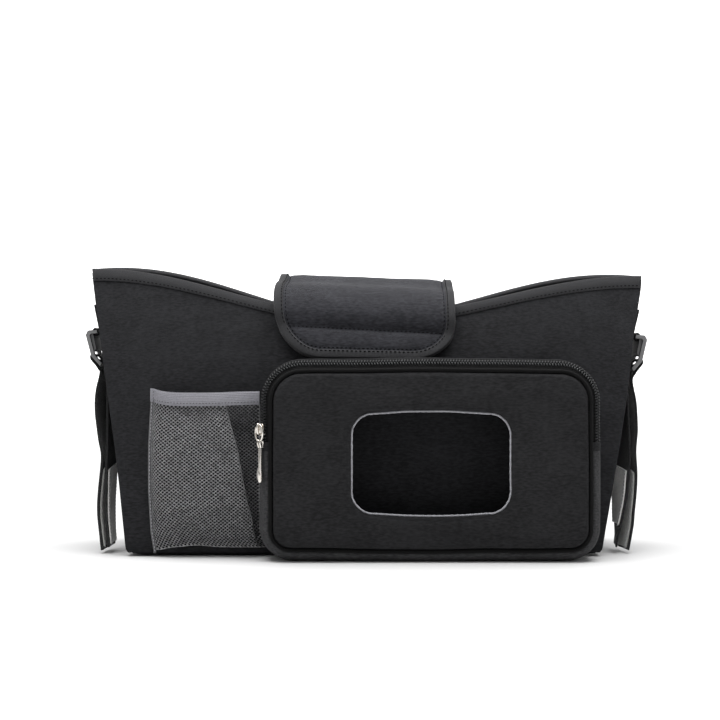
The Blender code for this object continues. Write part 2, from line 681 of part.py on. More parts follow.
def zip_pieces(run):
    inner, outer, half = ZIP_ROW_INNER, ZIP_ROW_OUTER, ZIP_ROW_HALF_HEIGHT
    for name, sign in (("zip_coil_front", 1), ("zip_coil_back", -1)):
        section = [on_zip(sign * inner, -half), on_zip(sign * outer, -half),
                   on_zip(sign * outer, half), on_zip(sign * inner, half)]
        pocket_band(name, run, section, "zip_coil")
    top = -half - GAP
    low = top - ZIP_TAPE_THICKNESS
    start = inner + ZIP_TAPE_SETBACK
    reach = ZIP_FRONT_TAPE_REACH
    section = [on_zip(start, top), on_zip(reach, top), on_zip(reach, low), on_zip(start, low)]
    pocket_band("zip_tape_front", run, section, "zip_tape")
    outside = POCKET_SIDE_OFFSET - ZIP_BACK_TAPE_INSET
    inside = outside - ZIP_TAPE_THICKNESS
    tape_end = ZIP_DEPTH - ZIP_BACK_TAPE_REACH
    section = [on_zip(-start, top), on_zip(-outer - ZIP_TAPE_SETBACK, top),
               (outside, ZIP_DEPTH - ZIP_BACK_TAPE_BEND), (outside, tape_end), (inside, tape_end),
               (inside, ZIP_DEPTH - ZIP_BACK_TAPE_BEND_INSIDE), on_zip(-ZIP_BACK_TAPE_CORNER, low),
               on_zip(-start, low)]
    pocket_band("zip_tape_back", run, section, "zip_tape")


# Slider, ring and pull: x stands out of the chain, y runs across it towards the panel, z runs up


def box_mesh(bm, low, high):
    made = bmesh.ops.create_cube(bm, size=1)
    for vert in made["verts"]:
        vert.co = Vector([(a + b) / 2 + (b - a) * c for a, b, c in zip(low, high, vert.co)])


def join_boxes(name, boxes, slot):
    """One body from overlapping boxes."""
    obj = None
    for i, (low, high) in enumerate(boxes):
        bm = bmesh.new()
        box_mesh(bm, low, high)
        if i == 0:
            obj = add_mesh(name, bm, slot)
            continue
        tool = add_mesh(f"{name}_tool_{i}", bm, slot, cutters)
        tool.hide_render = True
        tool.display_type = "WIRE"
        union = obj.modifiers.new(f"join {i}", "BOOLEAN")
        union.operation = "UNION"
        union.object = tool
        union.solver = "EXACT"
    return obj


def zip_pull_set():
    offset, depth = on_zip(0, 0)
    place = Vector((POCKET_LEFT - offset, -depth, SLIDER_REST_HEIGHT))
    carrier = bpy.data.objects.new("zip_slider_axis", None)
    parts.objects.link(carrier)
    carrier.location = place
    carrier.rotation_euler = (0, 0, math.radians(225))
    half = SLIDER_LENGTH / 2
    top = ZIP_ROW_HALF_HEIGHT + GAP
    under = -(ZIP_ROW_HALF_HEIGHT + ZIP_TAPE_THICKNESS + 2 * GAP)
    post = ZIP_ROW_INNER - GAP
    crown = top + SLIDER_PLATE + BRIDGE_CLEAR_HEIGHT
    leg_end = half - BRIDGE_LEG_INSET
    leg_start = leg_end - BRIDGE_LEG
    post_end = half - POST_INSET
    crown_half = BRIDGE_HALF_WIDTH + BRIDGE_CROWN_EXTRA
    leg_low, leg_high = top + JOIN_OVERLAP, crown + JOIN_OVERLAP
    boxes = [
        ((top, -SLIDER_HALF_WIDTH, -half), (top + SLIDER_PLATE, SLIDER_HALF_WIDTH, half)),
        ((under - SLIDER_PLATE, -ZIP_ROW_OUTER, -half), (under, ZIP_ROW_OUTER, half)),
        ((under - JOIN_OVERLAP, -post, post_end - POST_LENGTH), (top + JOIN_OVERLAP, post, post_end)),
        ((leg_low, -BRIDGE_HALF_WIDTH, leg_start), (leg_high, BRIDGE_HALF_WIDTH, leg_end)),
        ((leg_low, -BRIDGE_HALF_WIDTH, -leg_end), (leg_high, BRIDGE_HALF_WIDTH, -leg_start)),
        ((crown, -crown_half, BRIDGE_END_INSET - half),
         (crown + BRIDGE_THICKNESS, crown_half, half - BRIDGE_END_INSET)),
    ]
    slider = join_boxes("zip_slider", boxes, "zip_metal")
    slider.parent = carrier
    for tool in cutters.objects:
        if tool.name.startswith("zip_slider_tool"):
            tool.parent = carrier
    pivot_out = crown - BRIDGE_CLEAR_HEIGHT / 2
    points = []
    straight = RING_LENGTH - RING_HALF_WIDTH * 2
    for i in range(18):
        angle = math.tau * i / 18
        y, z = RING_HALF_WIDTH * math.cos(angle), RING_HALF_WIDTH * math.sin(angle)
        z += RING_PIVOT_RISE - RING_HALF_WIDTH - (straight if z < 0 else 0)
        points.append((pivot_out, y, z))
    ring = tube("zip_pull_ring", points, RING_WIRE_RADIUS, "zip_metal", cyclic=True)
    ring.parent = carrier
    eye = (pivot_out, RING_PIVOT_RISE - RING_LENGTH)
    pull = pull_plate(eye)
    pull.parent = carrier


def pull_plate(eye):
    """A flat bar with an eye at its top and a raised lobe near its end, on edge to the zip's face."""
    out, height = eye
    bore = RING_WIRE_RADIUS + PULL_EYE_PLAY
    outline = []
    for i in range(13):
        angle = math.radians(-50) + math.radians(280) * i / 12
        outline.append((PULL_EYE_RADIUS * math.cos(angle), PULL_EYE_RADIUS * math.sin(angle)))
    half, length = PULL_HALF_WIDTH, PULL_LENGTH
    lobe_top, lobe_end = LOBE_SPAN
    raised = half + LOBE_RAISE
    outline += [(-half, -PULL_NECK), (-half, -length), (half, -length), (half, -lobe_end - LOBE_SLOPE),
                (raised, -lobe_end), (raised, -lobe_top), (half, -lobe_top + LOBE_SLOPE), (half, -PULL_NECK)]
    bm = bmesh.new()
    outer = [bm.verts.new((out + x, -PULL_THICKNESS / 2, height + z)) for x, z in outline]
    rim = [bm.edges.new((a, b)) for a, b in zip(outer, outer[1:] + outer[:1])]
    hole = [bm.verts.new((out + bore * math.cos(math.tau * i / 12), -PULL_THICKNESS / 2,
                          height + bore * math.sin(math.tau * i / 12))) for i in range(12)]
    rim += [bm.edges.new((a, b)) for a, b in zip(hole, hole[1:] + hole[:1])]
    bmesh.ops.triangle_fill(bm, use_beauty=True, use_dissolve=False, edges=rim, normal=(0, -1, 0))
    obj = add_mesh("zip_pull", bm, "zip_metal")
    return solidify(obj, PULL_THICKNESS, -1)


def zip_end_tab(name, side):
    """A small folded tab that covers the zip's end."""
    start = ZIP_END_HEIGHT - GAP
    near, far = ZIP_END_TAB_ACROSS
    low, high = ZIP_END_TAB_STAND
    x_edge = POCKET_LEFT if side < 0 else POCKET_RIGHT
    stations = []
    for z in (start, start - ZIP_END_TAB_LENGTH):
        station = []
        for across, height in ((near, low), (far, low), (far, high), (near, high)):
            offset, depth = on_zip(across, height)
            station.append(Vector((x_edge + side * offset, -depth, z)))
        stations.append(station)
    return sweep(name, stations, "pocket_cloth")


# Mesh pocket: s runs from its left edge to the wipes pocket, v from its bottom to its top


def mesh_right(z):
    """Where the wipes pocket's side strip stands at this height."""
    radius = POCKET_BOTTOM_RADIUS + POCKET_SIDE_OFFSET + PIPING_RADIUS / 2 + MESH_THICKNESS
    centre_x, centre_z = POCKET_LEFT + POCKET_BOTTOM_RADIUS, POCKET_BOTTOM + POCKET_BOTTOM_RADIUS
    if z >= centre_z:
        return centre_x - radius
    return centre_x - math.sqrt(max(radius ** 2 - (centre_z - z) ** 2, 0.0))


def mesh_depth(s, v, x, z):
    swell = min(1.0, v / MESH_BELLY_SHARE + MESH_BELLY_START)
    belly = math.sin(math.pi * s) ** MESH_BELLY_POWER * math.sin(math.pi / 2 * swell)
    pleat = MESH_PLEAT * math.sin(2 * math.pi * MESH_PLEATS * s) * math.sin(math.pi * s)
    pleat *= (MESH_PLEAT_TOP_SHARE + (1 - MESH_PLEAT_TOP_SHARE) * (1 - v)) * min(1.0, v / MESH_PLEAT_FADE)
    rest = outer_depth(x, z) + 2 * GAP
    return max(rest, rest + MESH_BULGE * belly + pleat)


def mesh_place(s, v, extra=0.0):
    z = MESH_BOTTOM + v * (MESH_TOP - MESH_BOTTOM) + extra
    left = MESH_LEFT + MESH_BINDING_WIDTH + MESH_THICKNESS
    x = left + s * (mesh_right(z) - left)
    return Vector((x, -mesh_depth(s, v, x, z), z))


def mesh_pocket():
    across, up = 2 * MESH_GAPS_ACROSS + 1, 2 * MESH_GAPS_UP + 1
    bm = bmesh.new()
    bmesh.ops.create_grid(bm, x_segments=across, y_segments=up, size=1)

    def spread(share, count):
        index = round(share * count)
        bars = (count + 1) / 2
        bar = MESH_BAR_SHARE / bars
        hole = (1 - MESH_BAR_SHARE) / (bars - 1)
        return (index // 2) * (bar + hole) + (index % 2) * bar

    holes = []
    for face in bm.faces:
        centre = face.calc_center_median()
        column = int((centre.x + 1) / 2 * across)
        row = int((centre.y + 1) / 2 * up)
        if column % 2 and row % 2:
            holes.append(face)
    bmesh.ops.delete(bm, geom=holes, context="FACES")
    for vert in bm.verts:
        vert.co = mesh_place(spread((vert.co.x + 1) / 2, across), spread((vert.co.y + 1) / 2, up))
    bmesh.ops.recalc_face_normals(bm, faces=bm.faces)
    bm.faces.ensure_lookup_table()
    if sum(face.normal.y for face in bm.faces) > 0:
        bmesh.ops.reverse_faces(bm, faces=bm.faces)
    solidify(add_mesh("mesh_sheet", bm, "mesh_net"), MESH_THICKNESS, 1)
    low, high = MESH_TOP + GAP, MESH_TOP + GAP + ELASTIC_HEIGHT
    stations = []
    for i in range(ELASTIC_STEPS + 1):
        s = i / ELASTIC_STEPS
        x = MESH_LEFT + s * (mesh_right(low) - MESH_LEFT)
        depths = [mesh_depth(s, 1.0, x, z) for z in (low, high)]
        stations.append([Vector((x, -depths[0], low)), Vector((x, -depths[0] - ELASTIC_THICKNESS, low)),
                         Vector((x, -depths[0] - ELASTIC_THICKNESS, high)), Vector((x, -depths[0], high))])
    sweep("mesh_elastic", stations, "elastic")
    stations = []
    for i in range(MESH_BINDING_STEPS + 1):
        z = MESH_BOTTOM + (MESH_TOP - MESH_BOTTOM) * i / MESH_BINDING_STEPS
        edges = (MESH_LEFT, MESH_LEFT + MESH_BINDING_WIDTH)
        rest = [outer_depth(x, z) + 2 * GAP for x in edges]
        stations.append([Vector((edges[0], -rest[0], z)), Vector((edges[1], -rest[1], z)),
                         Vector((edges[1], -rest[1] - ELASTIC_THICKNESS, z)),
                         Vector((edges[0], -rest[0] - ELASTIC_THICKNESS, z))])
    sweep("mesh_side_binding", stations, "elastic")


# Side buckles and straps


def ribbon(name, route, side, half, thickness, slot, lean):
    """A flat band along a route of (distance out, height), with its width along the depth."""
    bm = bmesh.new()
    bmesh.ops.create_grid(bm, x_segments=1, y_segments=len(route) - 1, size=1)
    for vert in bm.verts:
        k = round((vert.co.y + 1) / 2 * (len(route) - 1))
        out, z = route[k]
        vert.co = (side * out, vert.co.x * half + lean(z), z)
    bmesh.ops.recalc_face_normals(bm, faces=bm.faces)
    return solidify(add_mesh(name, bm, slot), thickness, 0)


def buckle_set(label, side, height, outer_ply, inner_ply):
    out_at = half_width(height)
    profile = [(side * (out_at + x), height + z) for x, z in BUCKLE_OUTLINE]
    stations = [[Vector((x, y, z)) for x, z in profile] for y in (-BUCKLE_HALF_LENGTH, BUCKLE_HALF_LENGTH)]
    buckle = sweep(f"buckle_{label}", stations, "buckle_plastic")
    bm = bmesh.new()
    reach = sorted((side * (out_at + BUCKLE_BAR_REACH), side * (out_at + CUTTER_REACH)))
    window = BUCKLE_HALF_LENGTH - BUCKLE_RAIL
    box_mesh(bm, (reach[0], -window, height - BUCKLE_WINDOW_DROP), (reach[1], window, height + CUTTER_REACH))
    cutter = add_mesh(f"buckle_{label}_window", bm, "buckle_plastic", cutters)
    cutter.hide_render = True
    cutter.display_type = "WIRE"
    cut = buckle.modifiers.new("window", "BOOLEAN")
    cut.operation = "DIFFERENCE"
    cut.object = cutter
    cut.solver = "EXACT"
    buckle_tab(label, side, height, out_at)

    def lean(z):
        return -STRAP_LEAN * max(0.0, 1 - z / (height - BUCKLE_WINDOW_DROP))

    over = [(out_at + x, height + z) for x, z in STRAP_OVER_BAR]
    inner_ply, outer_ply = ([(half_width(z) + x, z) for x, z in ply] for ply in (inner_ply, outer_ply))
    route = smooth_route(inner_ply + over + outer_ply, 3)
    ribbon(f"strap_{label}", route, side, STRAP_HALF_WIDTH, STRAP_THICKNESS, "webbing", lean)
    shift = STRAP_THICKNESS / 2 + GAP + PATCH_THICKNESS / 2
    inner = [point for point in smooth_route(inner_ply, 4) if point.y < inner_ply[0][1] + PATCH_LENGTH]
    outer = [point for point in smooth_route(outer_ply, 4) if point.y < outer_ply[-1][1] + PATCH_LENGTH]
    for name, ply in (("inner", inner), ("outer", outer)):
        moved = [(point.x - shift, point.y) for point in ply]
        patch = f"strap_patch_{label}_{name}"
        ribbon(patch, moved, side, PATCH_HALF_WIDTH, PATCH_THICKNESS, "hook_loop", lean)


def buckle_tab(label, side, height, out_at):
    """A band sewn on the gusset, which loops round the buckle's top bar."""
    centre = (out_at + BUCKLE_PIVOT_OUT, height - BUCKLE_PIVOT_DROP)
    route = []
    for i in range(TAB_LOOP_STEPS + 1):
        angle = TAB_LOOP_START + TAB_LOOP_TURN * i / TAB_LOOP_STEPS
        route.append((centre[0] + TAB_LOOP_RADIUS * math.cos(angle),
                      centre[1] + TAB_LOOP_RADIUS * math.sin(angle)))
    tail = []
    for share in (1.0, 0.6, 0.3):
        z = height + TAB_TAIL * share
        tail.append((half_width(z) + GAP * 2 + TAB_THICKNESS / 2, z))
    ribbon(f"buckle_tab_{label}", tail + route, side, TAB_HALF_WIDTH, TAB_THICKNESS, "webbing", lambda z: 0.0)


def body():
    wall_panel("front_panel", -1, 0.0)
    wall_panel("back_panel", 1, BACK_EDGE_RISE)
    gusset("gusset_left", -1)
    gusset("gusset_right", 1)
    slab("base_panel", half_width(0), BASE_INNER_HALF_DEPTH + WALL, 0.0, BASE_THICKNESS, "body_cloth")
    board_low = BASE_THICKNESS + GAP
    slab("base_board", half_width(0) - WALL - BOARD_MARGIN, BASE_INNER_HALF_DEPTH - BOARD_MARGIN,
         board_low, board_low + BOARD_THICKNESS, "base_board")
    top_binding("front_top_binding", -1, 0.0)
    top_binding("back_top_binding", 1, BACK_EDGE_RISE)


def flap():
    view = SideView(flap_side_view())
    flap_panel(view)
    flap_binding(view)
    flap_strips(view)


body()
flap()
wipes_pocket()
zip_pull_set()
zip_end_tab("zip_end_left", -1)
zip_end_tab("zip_end_right", 1)
mesh_pocket()
buckle_set("left", -1, LEFT_BUCKLE_HEIGHT, LEFT_OUTER_PLY, LEFT_INNER_PLY)
buckle_set("right", 1, RIGHT_BUCKLE_HEIGHT, RIGHT_OUTER_PLY, RIGHT_INNER_PLY)
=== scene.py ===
import math

import bmesh
import bpy
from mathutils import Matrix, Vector, noise


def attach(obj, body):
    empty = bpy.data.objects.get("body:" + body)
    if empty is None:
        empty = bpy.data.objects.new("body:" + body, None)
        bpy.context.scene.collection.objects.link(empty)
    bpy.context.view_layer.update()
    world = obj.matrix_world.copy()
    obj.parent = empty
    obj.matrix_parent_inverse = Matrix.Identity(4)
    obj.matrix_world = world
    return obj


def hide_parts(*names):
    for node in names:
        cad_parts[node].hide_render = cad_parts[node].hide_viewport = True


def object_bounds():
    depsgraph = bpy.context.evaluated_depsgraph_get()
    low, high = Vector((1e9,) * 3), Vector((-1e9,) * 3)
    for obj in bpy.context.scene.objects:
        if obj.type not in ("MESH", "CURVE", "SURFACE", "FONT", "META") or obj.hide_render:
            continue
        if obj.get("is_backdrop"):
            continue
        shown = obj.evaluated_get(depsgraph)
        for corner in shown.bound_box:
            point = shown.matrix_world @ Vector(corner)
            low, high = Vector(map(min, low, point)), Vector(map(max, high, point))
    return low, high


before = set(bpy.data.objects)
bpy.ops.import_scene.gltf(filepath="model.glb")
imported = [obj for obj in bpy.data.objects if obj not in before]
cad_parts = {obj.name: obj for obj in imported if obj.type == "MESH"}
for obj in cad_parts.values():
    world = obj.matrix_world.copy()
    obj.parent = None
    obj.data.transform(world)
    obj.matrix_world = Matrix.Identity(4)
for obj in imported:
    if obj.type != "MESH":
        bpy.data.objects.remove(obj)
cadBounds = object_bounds()
scene = bpy.context.scene


# Camera, at the photograph's level view

camera = bpy.data.objects.new("camera", bpy.data.cameras.new("camera"))
camera.data.lens = 79.7
camera.data.sensor_width = 36
camera.location = (-0.0045, -1.15, 0.135)
camera.rotation_euler = (math.radians(90), 0, 0)
scene.collection.objects.link(camera)
scene.camera = camera


# Materials


# A Principled material and the few node recipes that the pieces share
class Shader:
    def __init__(self, name, colour, roughness, **constants):
        self.material = bpy.data.materials.new(name)
        self.material.use_nodes = True
        self.nodes = self.material.node_tree.nodes
        self.links = self.material.node_tree.links
        self.principled = self.nodes["Principled BSDF"]
        self.principled.inputs["Base Color"].default_value = (*colour, 1)
        self.principled.inputs["Roughness"].default_value = roughness
        for socket, value in constants.items():
            self.principled.inputs[socket.replace("_", " ")].default_value = value
        self.height = None

    def value(self, operation, *inputs):
        node = self.nodes.new("ShaderNodeMath")
        node.operation = operation
        for socket, source in zip(node.inputs, inputs):
            if isinstance(source, (int, float)):
                socket.default_value = source
            else:
                self.links.new(source, socket)
        return node.outputs[0]

    def noise(self, scale, detail=2.0, stretch=(1, 1, 1)):
        node = self.nodes.new("ShaderNodeTexNoise")
        node.inputs["Scale"].default_value = scale
        node.inputs["Detail"].default_value = detail
        coordinates = self.nodes.new("ShaderNodeTexCoord")
        scaling = self.nodes.new("ShaderNodeVectorMath")
        scaling.operation = "MULTIPLY"
        scaling.inputs[1].default_value = stretch
        self.links.new(coordinates.outputs["Object"], scaling.inputs[0])
        self.links.new(scaling.outputs[0], node.inputs["Vector"])
        return node.outputs["Fac"]

    def axes(self, source):
        coordinates = self.nodes.new("ShaderNodeTexCoord")
        split = self.nodes.new("ShaderNodeSeparateXYZ")
        self.links.new(coordinates.outputs[source], split.inputs[0])
        return split.outputs

    def wave(self, along, pitch):
        return self.value("SINE", self.value("MULTIPLY", along, math.tau / pitch))

    def add(self, height, share=1.0):
        height = self.value("MULTIPLY", height, share)
        self.height = height if self.height is None else self.value("ADD", self.height, height)
        return self

    # Crossing threads, on any face of a piece that lies mostly along X and Z
    def plainWeave(self, pitch, share=1.0):
        x, y, z = self.axes("Object")
        across = self.value("ADD", x, self.value("MULTIPLY", y, 0.93))
        up = self.value("ADD", z, self.value("MULTIPLY", y, 0.61))
        return self.add(self.value("MULTIPLY", self.wave(across, pitch), self.wave(up, pitch)), share)

    def ribs(self, pitch, share=1.0, axis=1):
        return self.add(self.wave(self.axes("UV")[axis], pitch), share)

    def twill(self, pitch, share=1.0):
        u, v, _ = self.axes("UV")
        return self.add(self.wave(self.value("ADD", u, v), pitch), share)

    def grain(self, scale, share=1.0, detail=2.0):
        return self.add(self.noise(scale, detail), share)

    def bump(self, strength, distance):
        node = self.nodes.new("ShaderNodeBump")
        node.inputs["Strength"].default_value = strength
        node.inputs["Distance"].default_value = distance
        self.links.new(self.height, node.inputs["Height"])
        self.links.new(node.outputs["Normal"], self.principled.inputs["Normal"])
        return self

    # Colour that varies a little from thread to thread and over the cloth, in slubs that run along X
    def mottle(self, darker, lighter, fineScale, broadScale, slub=1.0):
        fine = self.noise(fineScale, 3, (1 / slub, 1, 1))
        broad = self.value("MULTIPLY", self.noise(broadScale, 2), 0.25)
        mixed = self.value("MULTIPLY_ADD", fine, 0.75, broad)
        ramp = self.nodes.new("ShaderNodeValToRGB")
        ramp.color_ramp.elements[0].position, ramp.color_ramp.elements[1].position = 0.36, 0.64
        ramp.color_ramp.elements[0].color, ramp.color_ramp.elements[1].color = (*darker, 1), (*lighter, 1)
        self.links.new(mixed, ramp.inputs["Fac"])
        self.links.new(ramp.outputs["Color"], self.principled.inputs["Base Color"])
        return self


def scaled(colour, factor):
    return tuple(c * factor for c in colour)


def cloth(name, colour, pitch=0.00055, roughness=0.88, sheen=0.02, spread=0.36):
    shader = Shader(name, colour, roughness, Sheen_Weight=sheen, Sheen_Roughness=0.45,
                    Specular_IOR_Level=0.14)
    shader.mottle(scaled(colour, 1 - spread), scaled(colour, 1 + spread), 900, 60, 3.0)
    return shader.plainWeave(pitch, 0.6).grain(2600, 0.8).grain(330, 0.5).bump(0.55, 0.00022).material


def tape(name, colour, pitch, roughness=0.8, sheen=0.12, twilled=True, specular=0.25):
    shader = Shader(name, colour, roughness, Sheen_Weight=sheen, Sheen_Roughness=0.4,
                    Specular_IOR_Level=specular)
    shader.mottle(scaled(colour, 0.85), scaled(colour, 1.15), 1500, 60)
    shader = shader.twill(pitch) if twilled else shader.ribs(pitch)
    return shader.grain(2400, 0.7).bump(0.6, 0.00025).material


# Thread, cord and plastic: one colour under a fine grain
def grained(name, colour, roughness, scale, strength=0.4, distance=0.0001, **constants):
    return Shader(name, colour, roughness, **constants).grain(scale).bump(strength, distance).material


bodyCloth = cloth("bodyCloth", (0.0170, 0.0172, 0.0190))
flapCloth = cloth("flapCloth", (0.0295, 0.0298, 0.0350), sheen=0.16)
pocketCloth = cloth("pocketCloth", (0.0178, 0.0178, 0.0190))
# Painted light: the pocket's cloth painted lighter for the lower side strip, which faces down and takes
# little light
paintedLightPocketCloth = cloth("paintedLightPocketCloth", (0.0470, 0.0470, 0.0490))
bindingTape = tape("bindingTape", (0.030, 0.030, 0.0325), 0.0009)
webbingTape = tape("webbingTape", (0.011, 0.011, 0.012), 0.0014, roughness=0.7)
zipTapeCloth = tape("zipTapeCloth", (0.0055, 0.0055, 0.0057), 0.0008, sheen=0.02, specular=0.12)
elasticTape = tape("elasticTape", (0.245, 0.243, 0.268), 0.00115, twilled=False)
netEdgeTape = tape("netEdgeTape", (0.14, 0.14, 0.146), 0.0012, twilled=False)
seamThread = grained("seamThread", (0.0022, 0.0022, 0.0025), 0.9, 5200, Specular_IOR_Level=0.1)
greyThread = grained("greyThread", (0.36, 0.36, 0.38), 0.7, 4200)
paleThread = grained("paleStitch", (0.42, 0.42, 0.45), 0.7, 4200)
darkGreyThread = grained("stitchGrey", (0.055, 0.055, 0.062), 0.7, 4200)
overlockShader = Shader("overlockThread", (0.40, 0.40, 0.43), 0.75).ribs(0.0011, axis=0)
overlockThread = overlockShader.bump(0.8, 0.0003).material
coilNylon = grained("coilNylon", (0.016, 0.017, 0.018), 0.34, 2500, 0.2, Specular_IOR_Level=0.34)
bucklePlastic = grained("bucklePlastic", (0.005, 0.005, 0.0055), 0.6, 1500, 0.16, 0.0002,
                        Specular_IOR_Level=0.16)
# Painted light: the buckle's faces that look to the front and back take a far lighter grey than its black
# plastic, standing in for the light they catch
paintedLitBuckleFace = grained("paintedLitBuckleFace", (0.165, 0.165, 0.168), 0.65, 1500, 0.16, 0.0002)
boardPlastic = grained("boardShader", (0.04, 0.04, 0.042), 0.6, 300, 0.2, 0.0003)
nickelShader = Shader("nickel", (0.80, 0.76, 0.70), 0.22, Metallic=1.0)
nickelShader.mottle((0.72, 0.67, 0.60), (0.86, 0.83, 0.79), 700, 90)
nickel = nickelShader.grain(900, 0.6).bump(0.12, 0.0002).material


# Hook and loop: short fibres and tiny dark gaps between them
def fuzz(name, colour):
    shader = Shader(name, colour, 0.95, Sheen_Weight=0.7, Sheen_Roughness=0.6)
    shader.mottle(scaled(colour, 0.74), scaled(colour, 1.1), 2100, 260)
    return shader.grain(2600, 1.0, 4).grain(700, 0.7).bump(0.9, 0.0006).material


loopFuzz = fuzz("loopFuzz", (0.90, 0.89, 0.86))
darkLoopFuzz = fuzz("darkLoopFuzz", (0.44, 0.45, 0.42))
bodyLoopFuzz = fuzz("bodyLoopFuzz", (0.105, 0.095, 0.088))

print("materials made")


# Shaping helpers


def addPiece(name, bm, material, body="root", replaced=(), smooth=True):
    mesh = bpy.data.meshes.new(name)
    bm.to_mesh(mesh)
    bm.free()
    piece = bpy.data.objects.new(name, mesh)
    scene.collection.objects.link(piece)
    mesh.materials.append(material)
    if smooth:
        mesh.shade_smooth()
    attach(piece, body)
    if replaced:
        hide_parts(*replaced)
    return piece


def thicken(piece, thickness, offset=-1.0):
    modifier = piece.modifiers.new("thickness", "SOLIDIFY")
    modifier.thickness = thickness
    modifier.offset = offset
    modifier.use_even_offset = False
    return piece


def roundEdges(piece, width, segments=3, angle=40):
    modifier = piece.modifiers.new("rounding", "BEVEL")
    modifier.width = width
    modifier.segments = segments
    modifier.limit_method = "ANGLE"
    modifier.angle_limit = math.radians(angle)
    return piece


# A grid whose points are placed by their shares across and up, with its UV in metres of cloth
def mappedSheet(columns, rows, place, size=(1.0, 1.0), outward=None):
    bm = bmesh.new()
    bmesh.ops.create_grid(bm, x_segments=columns, y_segments=rows, size=1)
    uv = bm.loops.layers.uv.new("cloth")
    shares = {vert: ((vert.co.x + 1) / 2, (vert.co.y + 1) / 2) for vert in bm.verts}
    for face in bm.faces:
        for loop in face.loops:
            s, t = shares[loop.vert]
            loop[uv].uv = (s * size[0], t * size[1])
    for vert, (s, t) in shares.items():
        vert.co = place(s, t)
    bmesh.ops.recalc_face_normals(bm, faces=bm.faces)
    if outward is not None:
        facing = sum((face.normal * face.calc_area() for face in bm.faces), Vector())
        if facing.dot(Vector(outward)) < 0:
            bmesh.ops.reverse_faces(bm, faces=bm.faces)
    return bm


# The distance walked along a polyline at each of its points
def walkedMarks(points):
    points = [Vector(point) for point in points]
    marks = [0.0]
    for a, b in zip(points, points[1:]):
        marks.append(marks[-1] + (b - a).length)
    return marks


# The segment that a distance falls in, and its share of that segment
def segmentAt(marks, distance):
    k = 0
    while k < len(marks) - 2 and marks[k + 1] < distance:
        k += 1
    return k, (distance - marks[k]) / (marks[k + 1] - marks[k])


# A closed section carried along its stations. UV runs along the band in U and round the section in V
def sweptBand(sections, closed=False):
    bm = bmesh.new()
    uv = bm.loops.layers.uv.new("cloth")
    rows = [[bm.verts.new(point) for point in section] for section in sections]
    count = len(rows[0])
    starts = [section[0] for section in sections]
    marks = walkedMarks(starts + starts[:1] if closed else starts)
    rounds = walkedMarks(list(sections[0]) + [sections[0][0]])
    for first in range(len(marks) - 1):
        second = (first + 1) % len(rows)
        near, far = marks[first], marks[first + 1]
        for i in range(count):
            j = (i + 1) % count
            face = bm.faces.new((rows[first][i], rows[first][j], rows[second][j], rows[second][i]))
            corners = ((near, rounds[i]), (near, rounds[i + 1]), (far, rounds[i + 1]), (far, rounds[i]))
            for loop, corner in zip(face.loops, corners):
                loop[uv].uv = corner
    if not closed:
        bm.faces.new(rows[0])
        bm.faces.new(rows[-1])
    bmesh.ops.recalc_face_normals(bm, faces=bm.faces)
    return bm


# A Catmull-Rom route through the points
def smoothRoute(points, steps):
    route = []
    last = len(points) - 1
    for i in range(last):
        a, b, c, d = (Vector(points[k]) for k in (max(i - 1, 0), i, i + 1, min(i + 2, last)))
        for step in range(steps):
            t = step / steps
            route.append(0.5 * (2 * b + (c - a) * t + (2 * a - 5 * b + 4 * c - d) * t ** 2
                                + (3 * b - 3 * c + d - a) * t ** 3))
    route.append(Vector(points[-1]))
    return route


# Points at this spacing along a polyline, each with its direction
def evenRoute(points, spacing, closed=False):
    points = [Vector(point) for point in points]
    if closed:
        points.append(points[0])
    found, carried = [], 0.0
    for a, b in zip(points, points[1:]):
        length = (b - a).length
        if length < 1e-9:
            continue
        while carried < length:
            found.append((a.lerp(b, carried / length), (b - a).normalized()))
            carried += spacing
        carried -= length
    return found


# Lockstitches along one or more routes, as one piece of small rounded threads
def seam(name, routes, outwardAt, material=None, body="root",
         pitch=0.0026, length=0.0017, radius=0.00026, sink=0.00006, closed=False):
    bm = bmesh.new()
    for route in routes:
        for spot, along in evenRoute(route, pitch, closed):
            outward = Vector(outwardAt(spot)).normalized()
            across = along.cross(outward).normalized()
            made = bmesh.ops.create_uvsphere(bm, u_segments=6, v_segments=4, radius=1)
            for vert in made["verts"]:
                x, y, z = vert.co
                vert.co = (spot + along * (z * length / 2) + across * (x * radius)
                           + outward * (y * radius - sink))
    addPiece(name, bm, material or seamThread, body)


# A thread or cord along a route, by its own frame
def roundTube(points, radius, closed=False, sides=8, swelling=0.0, swellPitch=0.0012):
    points = [Vector(point) for point in points]
    count = len(points)
    sections, walked = [], 0.0
    for k, point in enumerate(points):
        before = points[k - 1] if closed or k else point
        after = points[(k + 1) % count] if closed or k < count - 1 else point
        along = (after - before).normalized()
        side = along.cross(Vector((0.13, -0.91, 0.39)).normalized()).normalized()
        up = side.cross(along)
        swell = radius * (1 + swelling * math.sin(math.tau * walked / swellPitch))
        sections.append([point + (side * math.cos(a) + up * math.sin(a)) * swell
                         for a in (math.tau * i / sides for i in range(sides))])
        if k < count - 1:
            walked += (points[k + 1] - point).length
    return sweptBand(sections, closed)


def blendStep(low, high, value):
    share = min(max((value - low) / (high - low), 0.0), 1.0)
    return share * share * (3 - 2 * share)


# Smooth noise from -1 to 1, the same each run
def ripple(point, scale, seed=0.0):
    return noise.noise(Vector((point[0] * scale + seed, point[1] * scale + 2.7 * seed, point[2] * scale)))


def frontNormal(spot):
    return (0, -1, 0)


def signedPower(value, power):
    return math.copysign(abs(value) ** power, value)


# A plate: the same outline at two levels, with its sides and both faces
def joinPlate(bm, outline, placeAt, levels):
    rows = [[bm.verts.new(placeAt(a, b, level)) for a, b in outline] for level in levels]
    for i in range(len(outline)):
        j = (i + 1) % len(outline)
        bm.faces.new((rows[0][i], rows[0][j], rows[1][j], rows[1][i]))
    bm.faces.new(rows[0])
    bm.faces.new(rows[1])


